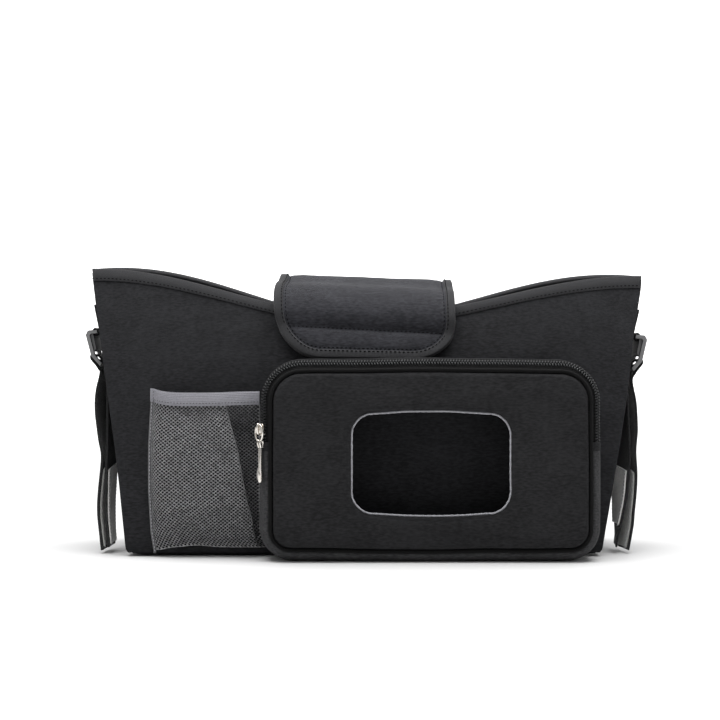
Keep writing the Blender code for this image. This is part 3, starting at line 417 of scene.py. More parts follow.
# A value read off a list of (place, value) by a straight blend
def blended(table, place):
    for (a, low), (b, high) in zip(table, table[1:]):
        if place <= b:
            return low + (high - low) * (place - a) / (b - a)
    return table[-1][1]


# Body: the same surfaces as the solids have, with the cloth's soft folds on top

wall = {
    "thickness": 0.003, "gap": 0.0003, "tape": 0.0008,
    "baseHalf": 0.166, "topHalf": 0.198, "meanCorner": 0.199,
    "leftCorner": 0.1984, "rightCorner": 0.1931, "middle": 0.1632,
    "backRise": 0.005, "baseInner": 0.052, "mouthHalf": 0.026,
    "low": 0.0024, "cornerRadius": 0.006,
    "leftShift": ((0, -0.0008), (0.02, -0.0018), (0.05, -0.0031), (0.077, -0.0036), (0.12, -0.0030),
                  (0.165, -0.0015), (0.2, -0.0004)),
    "rightShift": ((0, -0.0046), (0.02, -0.0044), (0.06, -0.0032), (0.11, -0.0015), (0.155, -0.0011),
                   (0.185, 0.0011), (0.2, 0.0013)),
}


def halfWidth(z):
    return wall["baseHalf"] + (wall["topHalf"] - wall["baseHalf"]) * z / wall["meanCorner"]


def topHeight(u, rise=0.0):
    corner = wall["leftCorner"] if u < 0 else wall["rightCorner"]
    share = (1 - math.cos(math.pi * abs(u))) / 2
    return wall["middle"] + (corner - wall["middle"]) * share + rise * math.sin(math.pi * abs(u) ** 1.5)


def innerDepth(u, z, top):
    mouth = wall["tape"] + 1.5 * wall["gap"] + wall["mouthHalf"] * (1 - u * u)
    power = 4 - 2 * u * u
    return mouth + (wall["baseInner"] - mouth) * (1 - min(z / top, 1.0) ** power)


def outerDepth(x, z, rise=0.0):
    u = max(-1.0, min(1.0, x / halfWidth(z)))
    step = 1e-4
    top = topHeight(u, rise)
    here = innerDepth(u, z, top)
    slope = (innerDepth(u, z + step, top) - here) / step
    return here + wall["thickness"] * math.hypot(1, slope)


def outerDepthOver(halfSpan, z, rise=0.0):
    return max(outerDepth(halfSpan * share, z, rise) for share in (0.0, 0.5, 1.0))


# How far out the bag's side stands: each side leans and hollows in its own way
def sideEdge(side, z):
    return halfWidth(z) + blended(wall["leftShift"] if side < 0 else wall["rightShift"], max(z, 0.0))


def sideX(u, z):
    x = u * (halfWidth(z) + abs(u) * (sideEdge(u, z) - halfWidth(z)))
    below = wall["cornerRadius"] - z
    if below > 0:
        radius = wall["cornerRadius"]
        x -= u * (radius - math.sqrt(max(radius ** 2 - below ** 2, 0.0))) * abs(u) ** 8
    return x


# How far the cloth stands off the smooth wall: broad slack folds and small puckers below the binding
def slack(x, z, top, seed):
    broad = 0.0009 * ripple((x, 0, z), 17, seed) + 0.00035 * ripple((x, 0, z * 1.6), 52, seed + 3)
    below = top - z
    folds = math.sin(x * 690 + 2.2 * ripple((x, 0, 0), 30))
    pucker = 0.00030 * folds * math.exp(-((below - 0.013) / 0.008) ** 2)
    edge = min(1.0, z / 0.012) * min(1.0, max(below, 0.0) / 0.012)
    return broad * edge + pucker


def wallPoint(side, u, z, rise, seed):
    x = sideX(u, z)
    top = topHeight(u, rise)
    depth = outerDepth(u * halfWidth(z), z, rise) + slack(x, z, top, seed) * min(1.0, (1 - abs(u)) / 0.04)
    roll = max(0.0, 1 - z / wall["cornerRadius"])
    return Vector((x, side * (depth - 0.0016 * roll * roll), z))


wallColumns, wallRows = 190, 84
for name, node, side, rise, seed in (("frontPanel", "front_panel", -1, 0.0, 1.3),
                                     ("backPanel", "back_panel", 1, wall["backRise"], 8.1)):
    def placeWall(s, t, side=side, rise=rise, seed=seed):
        u = 2 * s - 1
        z = wall["low"] + t * (topHeight(u, rise) - wall["low"])
        return wallPoint(side, u, z, rise, seed)
    bm = mappedSheet(wallColumns, wallRows, placeWall, (0.38, 0.19), (0, side, 0))
    panel = addPiece(name, bm, bodyCloth, replaced=(node,))
    roundEdges(thicken(panel, wall["thickness"]), 0.0011)
print("walls made")

# The gussets' edges run a little way into the walls, which closes the seams
gusset = {"topShare": 0.985, "dent": 0.0022, "seam": 0.0012}
for name, side, node in (("gussetLeft", -1, "gusset_left"), ("gussetRight", 1, "gusset_right")):
    corner = wall["leftCorner"] if side < 0 else wall["rightCorner"]

    def placeGusset(s, t, side=side, corner=corner):
        z = wall["low"] + t * (corner * gusset["topShare"] - wall["low"])
        reach = innerDepth(1.0, z, corner) + gusset["seam"]
        across = 2 * s - 1
        dent = gusset["dent"] * (1 - across ** 2) * math.sin(math.pi * min(t * 1.15, 1.0))
        dent += 0.0004 * ripple((0, across * reach, z), 40, side) * (1 - across ** 4)
        return Vector((sideX(side, z) - side * (dent + 0.0002), across * reach, z))
    bm = mappedSheet(34, 70, placeGusset, (0.1, 0.19), (side, 0, 0))
    panel = addPiece(name, bm, bodyCloth, replaced=(node,))
    roundEdges(thicken(panel, wall["thickness"]), 0.0008)

base = {"halfDepth": 0.055, "top": 0.003, "low": 0.0001, "sideIn": 0.0034, "endIn": 0.0036}
bm = bmesh.new()
bmesh.ops.create_grid(bm, x_segments=48, y_segments=16, size=1)
for vert in bm.verts:
    across, along = vert.co.x, vert.co.y
    x, y = across * (sideEdge(across, 0.0022) - base["sideIn"]), along * (base["halfDepth"] - base["endIn"])
    sag = 0.00035 * (0.5 + 0.5 * ripple((x, y, 0), 45, 4)) * (1 - abs(along) ** 6)
    vert.co = (x, y, base["low"] + sag + 0.0016 * max(abs(across) ** 40, abs(along) ** 14))
basePanel = addPiece("basePanel", bm, bodyCloth, replaced=("base_panel",))
roundEdges(thicken(basePanel, base["top"] - 0.0002, 1.0), 0.0012)
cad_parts["base_board"].material_slots[0].material = boardPlastic


# Folded tapes: a section round an edge, as (height over the inner face, distance down from the edge)
def foldedSection(thickness, width, slackness, rise, low=0.0):
    tape = wall["tape"]
    near, far = low - slackness, low + thickness + slackness
    middle, half = (near + far) / 2, (far - near) / 2 + tape
    outer = [(near - tape * 0.25, width), (near - tape, width - tape * 0.6)]
    arc = [(middle - half * math.cos(a), -rise * math.sin(a)) for a in (math.pi * i / 8 for i in range(9))]
    inner = [(far + tape, width - tape * 0.6), (far + tape * 0.25, width), (far, width - 0.0001)]
    return outer + arc + inner + [(far, 0.0), (near, 0.0), (near, width - 0.0001)]


def wallFrame(u, z, side, rise):
    def at(u, z):
        return Vector((sideX(u, z), side * innerDepth(u, z, topHeight(u, rise)), z))
    step = 1e-3
    inward = step if u < 0 else -step
    across = (at(u, z) - at(u + inward, z)) * (1 if u < 0 else -1)
    down = (at(u, z - 0.012) - at(u, z)).normalized()
    normal = down.cross(across).normalized()
    if normal.y * side < 0:
        normal.negate()
    return at(u, z), normal, down


topTape = {
    "cornerWidth": 0.0092, "middleWidth": 0.0072, "rise": 0.0016, "slack": 0.00045, "stitchIn": 0.0016,
    "endIn": 0.0016, "steps": 160,
}
bindingStitches = []
for name, side, rise, node in (("frontTopBinding", -1, 0.0, "front_top_binding"),
                               ("backTopBinding", 1, wall["backRise"], "back_top_binding")):
    end = 1 - topTape["endIn"] / wall["topHalf"]
    sections, outside, inside = [], [], []
    for i in range(topTape["steps"] + 1):
        u = -end + 2 * end * i / topTape["steps"]
        origin, normal, down = wallFrame(u, topHeight(u, rise), side, rise)
        widening = (topTape["cornerWidth"] - topTape["middleWidth"]) * blendStep(0.3, 0.9, abs(u))
        width = topTape["middleWidth"] + widening
        wobble = 0.00022 * ripple(origin, 85, side)
        fold = foldedSection(wall["thickness"], width + wobble, topTape["slack"], topTape["rise"])
        sections.append([origin + normal * n + down * d for n, d in fold])
        seamDown = down * (width - topTape["stitchIn"])
        outward = wall["thickness"] + topTape["slack"] + wall["tape"] + wobble * 0.5
        outside.append(origin + seamDown + normal * outward)
        inside.append(origin + seamDown - normal * (topTape["slack"] + wall["tape"]))
    addPiece(name, sweptBand(sections), bindingTape, replaced=(node,))
    bindingStitches += [(outside, (0, side, 0)), (inside, (0, -side, 0))]
for k, (route, outward) in enumerate(bindingStitches):
    seam(f"topBindingSeam{k + 1}", [route], lambda spot, outward=outward: outward,
         pitch=0.0030, length=0.0018, radius=0.00042)
print("body made")


# Flap: x runs across, s along its side view from the root behind to the tip in front

flapSize = {
    "half": 0.0609, "thickness": 0.003, "cornerRadius": 0.030, "rootHeight": 0.112,
    "ridgeHeight": 0.1938, "ridgeDepth": 0.011, "crease": 0.1562, "tip": 0.1366,
    "stripHalf": 0.031, "strip": 0.001, "ridgeTilt": 0.0021, "creaseTilt": 0.0031, "tipTilt": 0.0012,
    "leftSwell": 0.0030, "puff": 0.0011, "hookLow": 0.1450, "hookWidth": 0.0095, "loopLow": 0.1375,
    "loopWidth": 0.0140,
}


def flapSideView():
    clear = 2 * wall["tape"] + 3 * wall["gap"] + flapSize["thickness"]
    root, mouth = flapSize["rootHeight"], 0.164
    points = []
    for share in (0.0, 0.35, 0.65):
        z = root + share * (mouth - root)
        points.append((outerDepthOver(flapSize["half"], z, wall["backRise"]) + clear, z))
    edge = wall["tape"] + 1.5 * wall["gap"] + wall["mouthHalf"] + wall["thickness"] + clear
    shoulder = topHeight(flapSize["half"] / halfWidth(mouth), wall["backRise"]) + 0.0012
    ridge, height = flapSize["ridgeDepth"], flapSize["ridgeHeight"]
    points += [(edge + 0.0065, mouth - 0.006), (edge + 0.0030, shoulder - 0.002)]
    points.append((edge - 0.0015, shoulder + 0.009))
    crown = ((0.011, -0.0045), (0, 0), (-0.012, -0.001), (-0.024, -0.0055))
    points += [(ridge + y, height + z) for y, z in crown]
    points += [(0.0095 - edge, shoulder + 0.011), (-0.0003 - edge, shoulder + 0.003)]
    points.append((-edge - 0.0055, (shoulder + flapSize["crease"]) / 2 + 0.002))
    clear = 2 * flapSize["strip"] + 3 * wall["gap"] + flapSize["thickness"] + wall["tape"]
    for z in (flapSize["crease"], (flapSize["crease"] + flapSize["tip"]) / 2, flapSize["tip"]):
        points.append((-outerDepthOver(flapSize["stripHalf"], z) - clear, z))
    return points


# A planar route measured along its length
class SideView:
    steps = 8

    def __init__(self, points):
        self.points = smoothRoute(points, self.steps)
        self.marks = walkedMarks(self.points)
        self.length = self.marks[-1]

    def at(self, s):
        k, t = segmentAt(self.marks, min(max(s, 0.0), self.length))
        a, b = self.points[k], self.points[k + 1]
        before = self.points[max(k - 1, 0)]
        after = self.points[min(k + 2, len(self.points) - 1)]
        along = ((b - before).normalized() * (1 - t) + (after - a).normalized() * t).normalized()
        return a.lerp(b, t), along

    def whereHeight(self, z):
        for k in range(len(self.points) - 1, 0, -1):
            if self.points[k - 1].y >= z:
                a, b = self.points[k - 1], self.points[k]
                return self.marks[k - 1] + (self.marks[k] - self.marks[k - 1]) * (a.y - z) / (a.y - b.y)
        return 0.0


flapView = SideView(flapSideView())
# The ridge starts at the seventh point of the side view
ridgeAt = flapView.marks[6 * flapView.steps]
frontShoulderAt = flapView.whereHeight(0.178)
creaseAt = flapView.whereHeight(flapSize["crease"])


# A place on the flap. The cloth sits a little askew: higher on the left, and wider at its left shoulder
def flapPlace(x, s, height=0.0):
    spot, along = flapView.at(s)
    beyond = max(0.0, s - flapView.length)
    lean = blendStep(0.0, ridgeAt * 0.7, s)
    tilt = flapSize["ridgeTilt"]
    tilt += (flapSize["creaseTilt"] - tilt) * blendStep(ridgeAt, creaseAt, s)
    tilt += (flapSize["tipTilt"] - flapSize["creaseTilt"]) * blendStep(creaseAt, flapView.length, s)
    share = x / flapSize["half"]
    spread = x
    if x < 0:
        spread += flapSize["leftSwell"] * share * math.exp(-((s - frontShoulderAt) / 0.024) ** 2)
    return Vector((spread, spot.x + along.x * beyond + along.y * height,
                   spot.y + along.y * beyond - along.x * height - share * tilt * lean))


def flapNormal(x, s):
    return (flapPlace(x, s, 0.001) - flapPlace(x, s, 0.0)).normalized()


def flapEnd(x):
    into = abs(x) - (flapSize["half"] - flapSize["cornerRadius"])
    radius = flapSize["cornerRadius"]
    if into <= 0:
        return flapView.length
    return flapView.length - radius + math.sqrt(max(radius ** 2 - into ** 2, 0.0))


# The edge from the left side's root round to the right side's, as (x, s, inward x, inward s)
def flapRail(inset=0.0, sideRows=120, cornerRows=26):
    half, radius = flapSize["half"] - inset, flapSize["cornerRadius"] - inset
    corner = flapView.length - flapSize["cornerRadius"]
    inner = flapSize["half"] - flapSize["cornerRadius"]
    rail = [(-half, corner * i / sideRows, 1.0, 0.0) for i in range(sideRows)]
    for i in range(cornerRows + 1):
        angle = math.pi / 2 * i / cornerRows
        rail.append((-inner - radius * math.cos(angle), corner + radius * math.sin(angle),
                     math.cos(angle), -math.sin(angle)))
    across = [(-inner + 2 * inner * i / 30, flapView.length - inset, 0.0, -1.0) for i in range(1, 30)]
    return rail + across + [(-x, s, -dx, ds) for x, s, dx, ds in reversed(rail)]


def edgeDistance(x, s):
    half, radius = flapSize["half"], flapSize["cornerRadius"]
    corner = flapView.length - radius
    inner = half - radius
    if abs(x) > inner and s > corner:
        return radius - math.hypot(abs(x) - inner, s - corner)
    return min(half - abs(x), flapView.length - s)


# Padding swells between the seams and is pulled down along them
def flapPuff(x, s):
    distance = edgeDistance(x, s)
    puff = flapSize["puff"] * (0.35 + 0.65 * blendStep(0.006, 0.015, distance))
    puff -= 0.0006 * math.exp(-((distance - 0.0064) / 0.0009) ** 2)
    crease = math.exp(-((s - creaseAt) / 0.0022) ** 2)
    puff -= (puff + 0.0007) * crease
    slackness = 0.00045 * ripple((x, s, 0), 48, 2) + 0.00022 * ripple((x, s, 0), 130, 5)
    near = math.exp(-((distance - 0.0085) / 0.0035) ** 2)
    pucker = 0.00022 * math.sin((s if abs(x) > 0.05 else x) * 1500) * near
    return puff + (slackness + pucker) * blendStep(0.002, 0.010, distance)


def placeFlap(s, t):
    x = flapSize["half"] * math.sin(math.pi * (s - 0.5)) * (1 - 1e-6)
    along = t * flapView.length
    if t > 0.5:
        straight = flapView.length * 0.5
        along = straight + (flapEnd(x) - straight) * (t - 0.5) * 2
    return flapPlace(x, along, flapPuff(x, along))


bm = mappedSheet(76, 150, placeFlap, (0.12, flapView.length), (0, -0.2, 1))
flapPiece = addPiece("flapPanel", bm, flapCloth, replaced=("flap",))
thicken(flapPiece, flapSize["thickness"])

flapTape = {"width": 0.0052, "slack": 0.0002, "rise": 0.0011}
sections = []
for x, s, dx, ds in flapRail():
    width = flapTape["width"] + 0.00025 * ripple((x, s, 0), 70, 9)
    fold = foldedSection(flapSize["thickness"], width, flapTape["slack"], flapTape["rise"],
                         -flapSize["thickness"])
    swell = 0.00020 * ripple((x, s, 1), 120, 6)
    lifted = [(n + (swell + 0.0004 if n > -0.001 else 0), d) for n, d in fold]
    sections.append([flapPlace(x + dx * d, s + ds * d, n) for n, d in lifted])
addPiece("flapBinding", sweptBand(sections), bindingTape, replaced=("flap_binding",))


def flapSeam(name, route, lift):
    spots = [flapPlace(x, s, flapPuff(x, s) + lift) for x, s in route]
    normals = [flapNormal(x, s) for x, s in route]

    def outwardAt(spot):
        nearest = min(range(len(spots)), key=lambda k: (spots[k] - spot).length_squared)
        return normals[nearest]
    seam(name, [spots], outwardAt, pitch=0.0030, length=0.0019, radius=0.00036)


def railRoute(inset):
    return [(x, s) for x, s, _, _ in flapRail(inset) if s > 0.012]


edgeLift = flapTape["slack"] + wall["tape"]
flapSeam("flapEdgeSeam", railRoute(0.0042), edgeLift + 0.0003)
flapSeam("flapInnerSeam", railRoute(0.0068), 0.00015)
creaseHalf = flapSize["half"] - 0.0085
flapSeam("flapCreaseSeam", [(-creaseHalf + 2 * creaseHalf * i / 60, creaseAt) for i in range(61)], 0.00012)


def stripPiece(name, place, material, replaced, outward):
    bm = mappedSheet(60, 16, place, (0.062, 0.012), outward)
    piece = addPiece(name, bm, material, replaced=(replaced,))
    roundEdges(thicken(piece, flapSize["strip"]), 0.0003, 2)
    return piece


def placeHook(across, t):
    x = (2 * across - 1) * flapSize["stripHalf"]
    s = flapView.whereHeight(flapSize["hookLow"] + flapSize["hookWidth"] * t)
    return flapPlace(x, s, -flapSize["thickness"] - 0.0016)


def placeLoop(s, t):
    x = (2 * s - 1) * flapSize["stripHalf"]
    z = flapSize["loopLow"] + flapSize["loopWidth"] * t
    return Vector((x, -outerDepthOver(flapSize["stripHalf"], z) - 0.0013, z))


stripPiece("flapHooks", placeHook, darkLoopFuzz, "flap_hook_strip", (0, 1, 0))
stripPiece("flapLoops", placeLoop, bodyLoopFuzz, "flap_loop_strip", (0, -1, 0))
print("flap made")


# Wipes pocket: its outline is a list of (centre x, centre z, radius, angle), to be taken at any offset

pocket = {
    "left": -0.0628, "right": 0.148, "bottom": 0.0100, "top": 0.1258, "highRadius": 0.0185,
    "lowRadius": 0.012, "front": 0.0925, "panel": 0.0025, "sideOffset": 0.0090, "sideCloth": 0.0014,
    "split": 0.080, "zipOffset": 0.0066, "zipDepth": 0.0840, "zipEnd": 0.080,
}
window = {"left": -0.0100, "right": 0.0955, "bottom": 0.0330, "top": 0.0994, "radius": 0.0145, "bow": 0.0016}
sideSteps, cornerSteps, acrossSteps = 12, 14, 44


# The outline clockwise from the split height on the left, as its upper and its lower run
def roundedOutline(left, right, bottom, top, lowRadius, highRadius, split):
    half = math.pi / 2

    def side(x, sign, start, end, radius, angle):
        heights = [start + (end - start) * i / sideSteps for i in range(sideSteps)]
        return [(x + sign * radius, z, radius, angle) for z in heights]

    def corner(x, z, radius, start, end):
        return [(x, z, radius, start + (end - start) * i / cornerSteps) for i in range(cornerSteps)]

    def across(start, end, z, radius, angle):
        return [(start + (end - start) * i / acrossSteps, z, radius, angle) for i in range(acrossSteps)]

    upper = side(left, 1, split, top - highRadius, highRadius, math.pi)
    upper += corner(left + highRadius, top - highRadius, highRadius, math.pi, half)
    upper += across(left + highRadius, right - highRadius, top - highRadius, highRadius, half)
    upper += corner(right - highRadius, top - highRadius, highRadius, half, 0.0)
    upper += side(right, -1, top - highRadius, split, highRadius, 0.0)
    lower = side(right, -1, split, bottom + lowRadius, lowRadius, 0.0)
    lower += corner(right - lowRadius, bottom + lowRadius, lowRadius, 0.0, -half)
    lower += across(right - lowRadius, left + lowRadius, bottom + lowRadius, lowRadius, -half)
    lower += corner(left + lowRadius, bottom + lowRadius, lowRadius, -half, -math.pi)
    lower += side(left, 1, bottom + lowRadius, split, lowRadius, -math.pi)
    return upper, lower


# A point this far out of the outline. The pocket's cloth is soft, so its edges wander a little
def outlinePoint(station, offset, depth):
    centreX, centreZ, radius, angle = station
    x = centreX + (radius + offset) * math.cos(angle)
    z = centreZ + (radius + offset) * math.sin(angle)
    if depth is None:
        depth = outerDepth(x, max(z, 0.0)) + 0.0009
    wander = 0.0005 * ripple((x, 0, z), 26, 12)
    share = (x - pocket["left"]) / (pocket["right"] - pocket["left"])
    z += 0.0010 * math.sin(math.pi * share) * math.sin(angle)
    return Vector((x + wander * math.cos(angle), -depth, max(z + wander * math.sin(angle), 0.0002)))


upperRun, lowerRun = roundedOutline(pocket["left"], pocket["right"], pocket["bottom"], pocket["top"],
                                    pocket["lowRadius"], pocket["highRadius"], pocket["split"])
ring = upperRun + lowerRun
windowMiddle = (window["bottom"] + window["top"]) / 2
windowUpper, windowLower = roundedOutline(window["left"], window["right"], window["bottom"], window["top"],
                                          window["radius"], window["radius"], windowMiddle)
windowRing = windowUpper + windowLower


# The window's cut edge: its long sides bow outwards a little
def windowPoint(station, offset, depth):
    centreX, centreZ, radius, angle = station
    straight = window["right"] - window["left"] - 2 * window["radius"]
    share = (centreX - window["left"] - window["radius"]) / straight
    bow = window["bow"] * math.sin(math.pi * share) * math.sin(angle)
    wander = 0.00025 * ripple((centreX, centreZ, angle), 60, 21)
    reach = radius + offset + wander
    return Vector((centreX + reach * math.cos(angle), -depth, centreZ + reach * math.sin(angle) + bow))


panelRows = 26
windowRoom = 0.0007


# t runs from the piped edge to the window
def placePanel(k, t):
    outer = outlinePoint(ring[k], -0.0004, 0)
    inner = windowPoint(windowRing[k], windowRoom, 0)
    spot = outer.lerp(inner, t)
    fromEdge = (spot - outer).length
    fromWindow = (spot - inner).length
    swell = 0.0017 * blendStep(0.0, 0.022, fromEdge) - 0.0016 * math.exp(-(fromEdge / 0.0014) ** 2)
    swell -= 0.0006 * math.exp(-((fromWindow - 0.0030) / 0.0013) ** 2)
    swell -= 0.0004 * math.exp(-(fromWindow / 0.0012) ** 2)
    near = min(1.0, fromEdge / 0.010) * min(1.0, fromWindow / 0.006)
    swell += (0.0008 * ripple(spot, 22, 14) + 0.00025 * ripple(spot, 75, 17)) * near
    edgePucker = 0.00025 * math.sin(k * 1.9) * math.exp(-((fromEdge - 0.004) / 0.003) ** 2)
    return Vector((spot.x, -pocket["front"] + 0.0008 - swell - edgePucker, spot.z))


sections = [[placePanel(k, t / panelRows) for t in range(panelRows + 1)] for k in range(len(ring))]
bm = bmesh.new()
grid = [[bm.verts.new(point) for point in section] for section in sections]
for first, second in zip(grid, grid[1:] + grid[:1]):
    for a, b, c, d in zip(first, first[1:], second[1:], second):
        bm.faces.new((a, b, c, d))
bmesh.ops.recalc_face_normals(bm, faces=bm.faces)
if sum(face.normal.y for face in bm.faces) > 0:
    bmesh.ops.reverse_faces(bm, faces=bm.faces)
pocketPanel = addPiece("pocketPanel", bm, pocketCloth, replaced=("pocket_front",))
roundEdges(thicken(pocketPanel, 0.0022), 0.0006, 2, 60)

windowDepth = pocket["front"] - 0.0009
bm = roundTube([windowPoint(at, 0.00005, windowDepth) for at in windowRing], 0.00068, True, 10, 0.16, 0.0012)
addPiece("windowOverlock", bm, overlockThread, replaced=("pocket_window_edge",))
seam("windowSeam", [[windowPoint(at, 0.0033, pocket["front"] + 0.0001) for at in windowRing]], frontNormal,
     pitch=0.0026, length=0.0017, radius=0.00024, closed=True)

pipingDepth = pocket["front"] - pocket["panel"] - 0.0012
bm = roundTube([outlinePoint(at, 0.0016, pipingDepth) for at in ring], 0.00135, True, 12, 0.025, 0.0031)
addPiece("frontPiping", bm, zipTapeCloth, replaced=("pocket_front_piping",))
backCord = 0.0012
backRing = [outlinePoint(at, pocket["sideOffset"] - 0.0007, None) + Vector((0, -0.0010, 0)) for at in ring]
for spot in backRing:
    spot.z = max(spot.z, backCord + 0.0002)
bm = roundTube(backRing, backCord, True, 10, 0.03, 0.0034)
addPiece("backPiping", bm, pocketCloth, replaced=("pocket_back_piping",))

slope = math.sqrt(0.5)


# (offset, depth) of a place on the zip: across runs towards the panel, height stands out of the chain
def onZip(across, height):
    return pocket["zipOffset"] + slope * (height - across), pocket["zipDepth"] + slope * (height + across)


def band(name, run, sectionAt, material, replaced):
    sections = []
    for k, at in enumerate(run):
        sections.append([outlinePoint(at, offset, depth) for offset, depth in sectionAt(k, at)])
    addPiece(name, sweptBand(sections), material, replaced=replaced)


zipRun = upperRun + [(pocket["right"] - pocket["highRadius"], pocket["zipEnd"], pocket["highRadius"], 0.0)]


# Front tape: from the teeth to the piping, folded back under it, with a soft hollow along its seam
def frontTape(k, at):
    puff = 0.0003 * ripple((k * 0.3, 0, 0), 1.0, 31)
    top = [onZip(0.0008, -0.0008), onZip(0.0024, -0.0006 + puff), onZip(0.0040, -0.0009 + puff),
           onZip(0.0054, -0.0013), onZip(0.0066, -0.0016)]
    low = [onZip(0.0064, -0.0024), onZip(0.0030, -0.0022), onZip(0.0008, -0.0018)]
    return top + low


# Back tape: over a round edge and down to the pocket's side
def backTape(k, at):
    outside, depth = pocket["sideOffset"] - 0.0002, pocket["zipDepth"]
    puff = 0.00025 * ripple((k * 0.3, 3, 0), 1.0, 33)
    top = [onZip(-0.0008, -0.0008), onZip(-0.0022, -0.0007 + puff)]
    edge = [(outside - 0.0003, depth - 0.0033), (outside + puff, depth - 0.0048),
            (outside + puff, depth - 0.0072), (outside, depth - 0.0096)]
    inside = [(outside - 0.0008, depth - 0.0096), (outside - 0.0010, depth - 0.0050)]
    return top + edge + inside + [onZip(-0.0020, -0.0018), onZip(-0.0008, -0.0018)]


band("zipTapeFront", zipRun, frontTape, zipTapeCloth, ("zip_tape_front",))
band("zipTapeBack", zipRun, backTape, zipTapeCloth, ("zip_tape_back",))


# Where the pocket's side starts: clear of the wall by the back seam's cord
def sideStart(at):
    centreX, centreZ, radius, angle = at
    reach = radius + pocket["sideOffset"]
    return outerDepth(centreX + reach * math.cos(angle), max(centreZ + reach * math.sin(angle), 0.0)) + 0.0032


# Side strip: from the back seam to the zip, a little slack
def sideUpper(k, at):
    outside = pocket["sideOffset"]
    near, far = sideStart(at), pocket["zipDepth"] - 0.0100
    steps = [near + (far - near) * i / 5 for i in range(6)]
    swell = [0.0005 * math.sin(math.pi * i / 5) + 0.0004 * ripple((k * 0.21, i, 0), 1.0, 35) * (0 < i < 5)
             for i in range(6)]
    outer = [(outside + s, d) for s, d in zip(swell, steps)]
    inner = [(outside + s - pocket["sideCloth"], d) for s, d in zip(reversed(swell), reversed(steps))]
    return outer + inner


# Below the zip's ends the strip folds in to the panel's seam: a soft roll that hangs over the base
def sideLower(k, at):
    outside = pocket["sideOffset"]
    profile = [(0.0, sideStart(at)), (0.0002, 0.066), (0.0004, 0.074), (-0.0002, 0.0805), (-0.0018, 0.0846),
               (-0.0042, 0.0868), (-0.0062, 0.0874)]
    outer = []
    for i, (shift, depth) in enumerate(profile):
        soft = 0.0005 * ripple((k * 0.17, i * 0.8, 0), 1.0, 38) * (0 < i < 6)
        outer.append((outside + shift + soft, depth + soft * 0.6))
    inner = []
    for i, (reach, depth) in enumerate(outer):
        inner.append((reach - (0.0012 if i < 4 else 0.0004), depth - (0.0 if i < 3 else 0.0013)))
    return outer + inner[::-1]


lowerEnd = (pocket["left"] + pocket["lowRadius"], pocket["zipEnd"] - 0.0003, pocket["lowRadius"], -math.pi)
lowerStart = (pocket["right"] - pocket["lowRadius"], pocket["zipEnd"] - 0.0003, pocket["lowRadius"], 0.0)
band("pocketSideUpper", zipRun, sideUpper, pocketCloth, ("pocket_side_upper",))
# The lower strip takes the pocket's cloth with painted light
band("pocketSideLower", [lowerStart] + lowerRun[1:] + [lowerEnd], sideLower, paintedLightPocketCloth,
     ("pocket_side_lower",))

# Zip teeth: two rows of nylon loops that lean into each other
teeth = {
    "pitch": 0.00192, "inner": -0.0002, "outer": 0.0025, "radius": 0.00056, "lean": 0.00046, "height": 1.25,
}
centreLine = [outlinePoint(at, *onZip(0, 0)) for at in zipRun]
panelSide = [outlinePoint(at, *onZip(0.001, 0)) - outlinePoint(at, *onZip(0, 0)) for at in zipRun]
for name, sign, node in (("zipTeethFront", 1, "zip_coil_front"), ("zipTeethBack", -1, "zip_coil_back")):
    bm = bmesh.new()
    for index, (spot, along) in enumerate(evenRoute(centreLine, teeth["pitch"] / 2)):
        if index % 2 != (sign > 0):
            continue
        nearest = min(range(len(centreLine)), key=lambda k: (centreLine[k] - spot).length_squared)
        across = (panelSide[nearest] - along * panelSide[nearest].dot(along)).normalized()
        outward = across.cross(along).normalized()
        if outward.y > 0:
            outward.negate()
        middle = sign * (teeth["inner"] + teeth["outer"]) / 2
        reach = (teeth["outer"] - teeth["inner"]) / 2
        made = bmesh.ops.create_uvsphere(bm, u_segments=8, v_segments=5, radius=1)
        for vert in made["verts"]:
            x, y, z = vert.co
            bulge = signedPower(z, 0.5)
            vert.co = (spot + across * (middle + bulge * reach)
                       + along * (x * teeth["radius"] + z * sign * teeth["lean"])
                       + outward * (y * teeth["radius"] * teeth["height"]))
    addPiece(name, bm, coilNylon, replaced=(node,))

for name, sign, node in (("zipEndLeft", -1, "zip_end_left"), ("zipEndRight", 1, "zip_end_right")):
    edge = pocket["left"] if sign < 0 else pocket["right"]

    def placeTab(s, t, sign=sign, edge=edge):
        across = 0.0060 - 0.0092 * s
        height = 0.0012 - 0.0016 * (2 * s - 1) ** 2 + 0.0003 * math.sin(t * math.pi)
        offset, depth = onZip(across, height)
        return Vector((edge + sign * offset, -depth, 0.0800 - 0.0062 * t + 0.0004 * math.sin(s * 3)))
    bm = mappedSheet(12, 8, placeTab, (0.009, 0.006), (sign, -1, 0))
    tab = addPiece(name, bm, pocketCloth, replaced=(node,))
    roundEdges(thicken(tab, 0.0007), 0.0002, 2)

# Slider, ring and pull. A place is (along the panel, out of the zip, height), from the slider's middle
metal = {
    "middle": (-0.0694, -0.0840, 0.0885), "plateHalf": 0.0031, "plateLength": 0.0082, "plate": 0.0010,
    "standOff": 0.0024, "crown": 0.0051, "crownWire": 0.00075, "ringWire": 0.00066, "ringHalf": 0.0036,
    "ringLength": 0.0112, "ringTop": 0.0034, "barHalf": 0.0016, "barThickness": 0.0012, "barLow": -0.0352,
    "eyeHeight": -0.0082, "eyeWire": 0.00066, "eyeHalf": 0.0011, "out": 0.0035, "hang": 0.0012,
}


def onSlider(along, out, height):
    x, y, z = metal["middle"]
    return Vector((x + slope * (along - out), y - slope * (along + out), z + height))


# A bar or plate given by its outline (along, height), between two distances out
def metalPlate(bm, outline, low, high):
    joinPlate(bm, outline, lambda along, height, out: onSlider(along, out, height), (low, high))


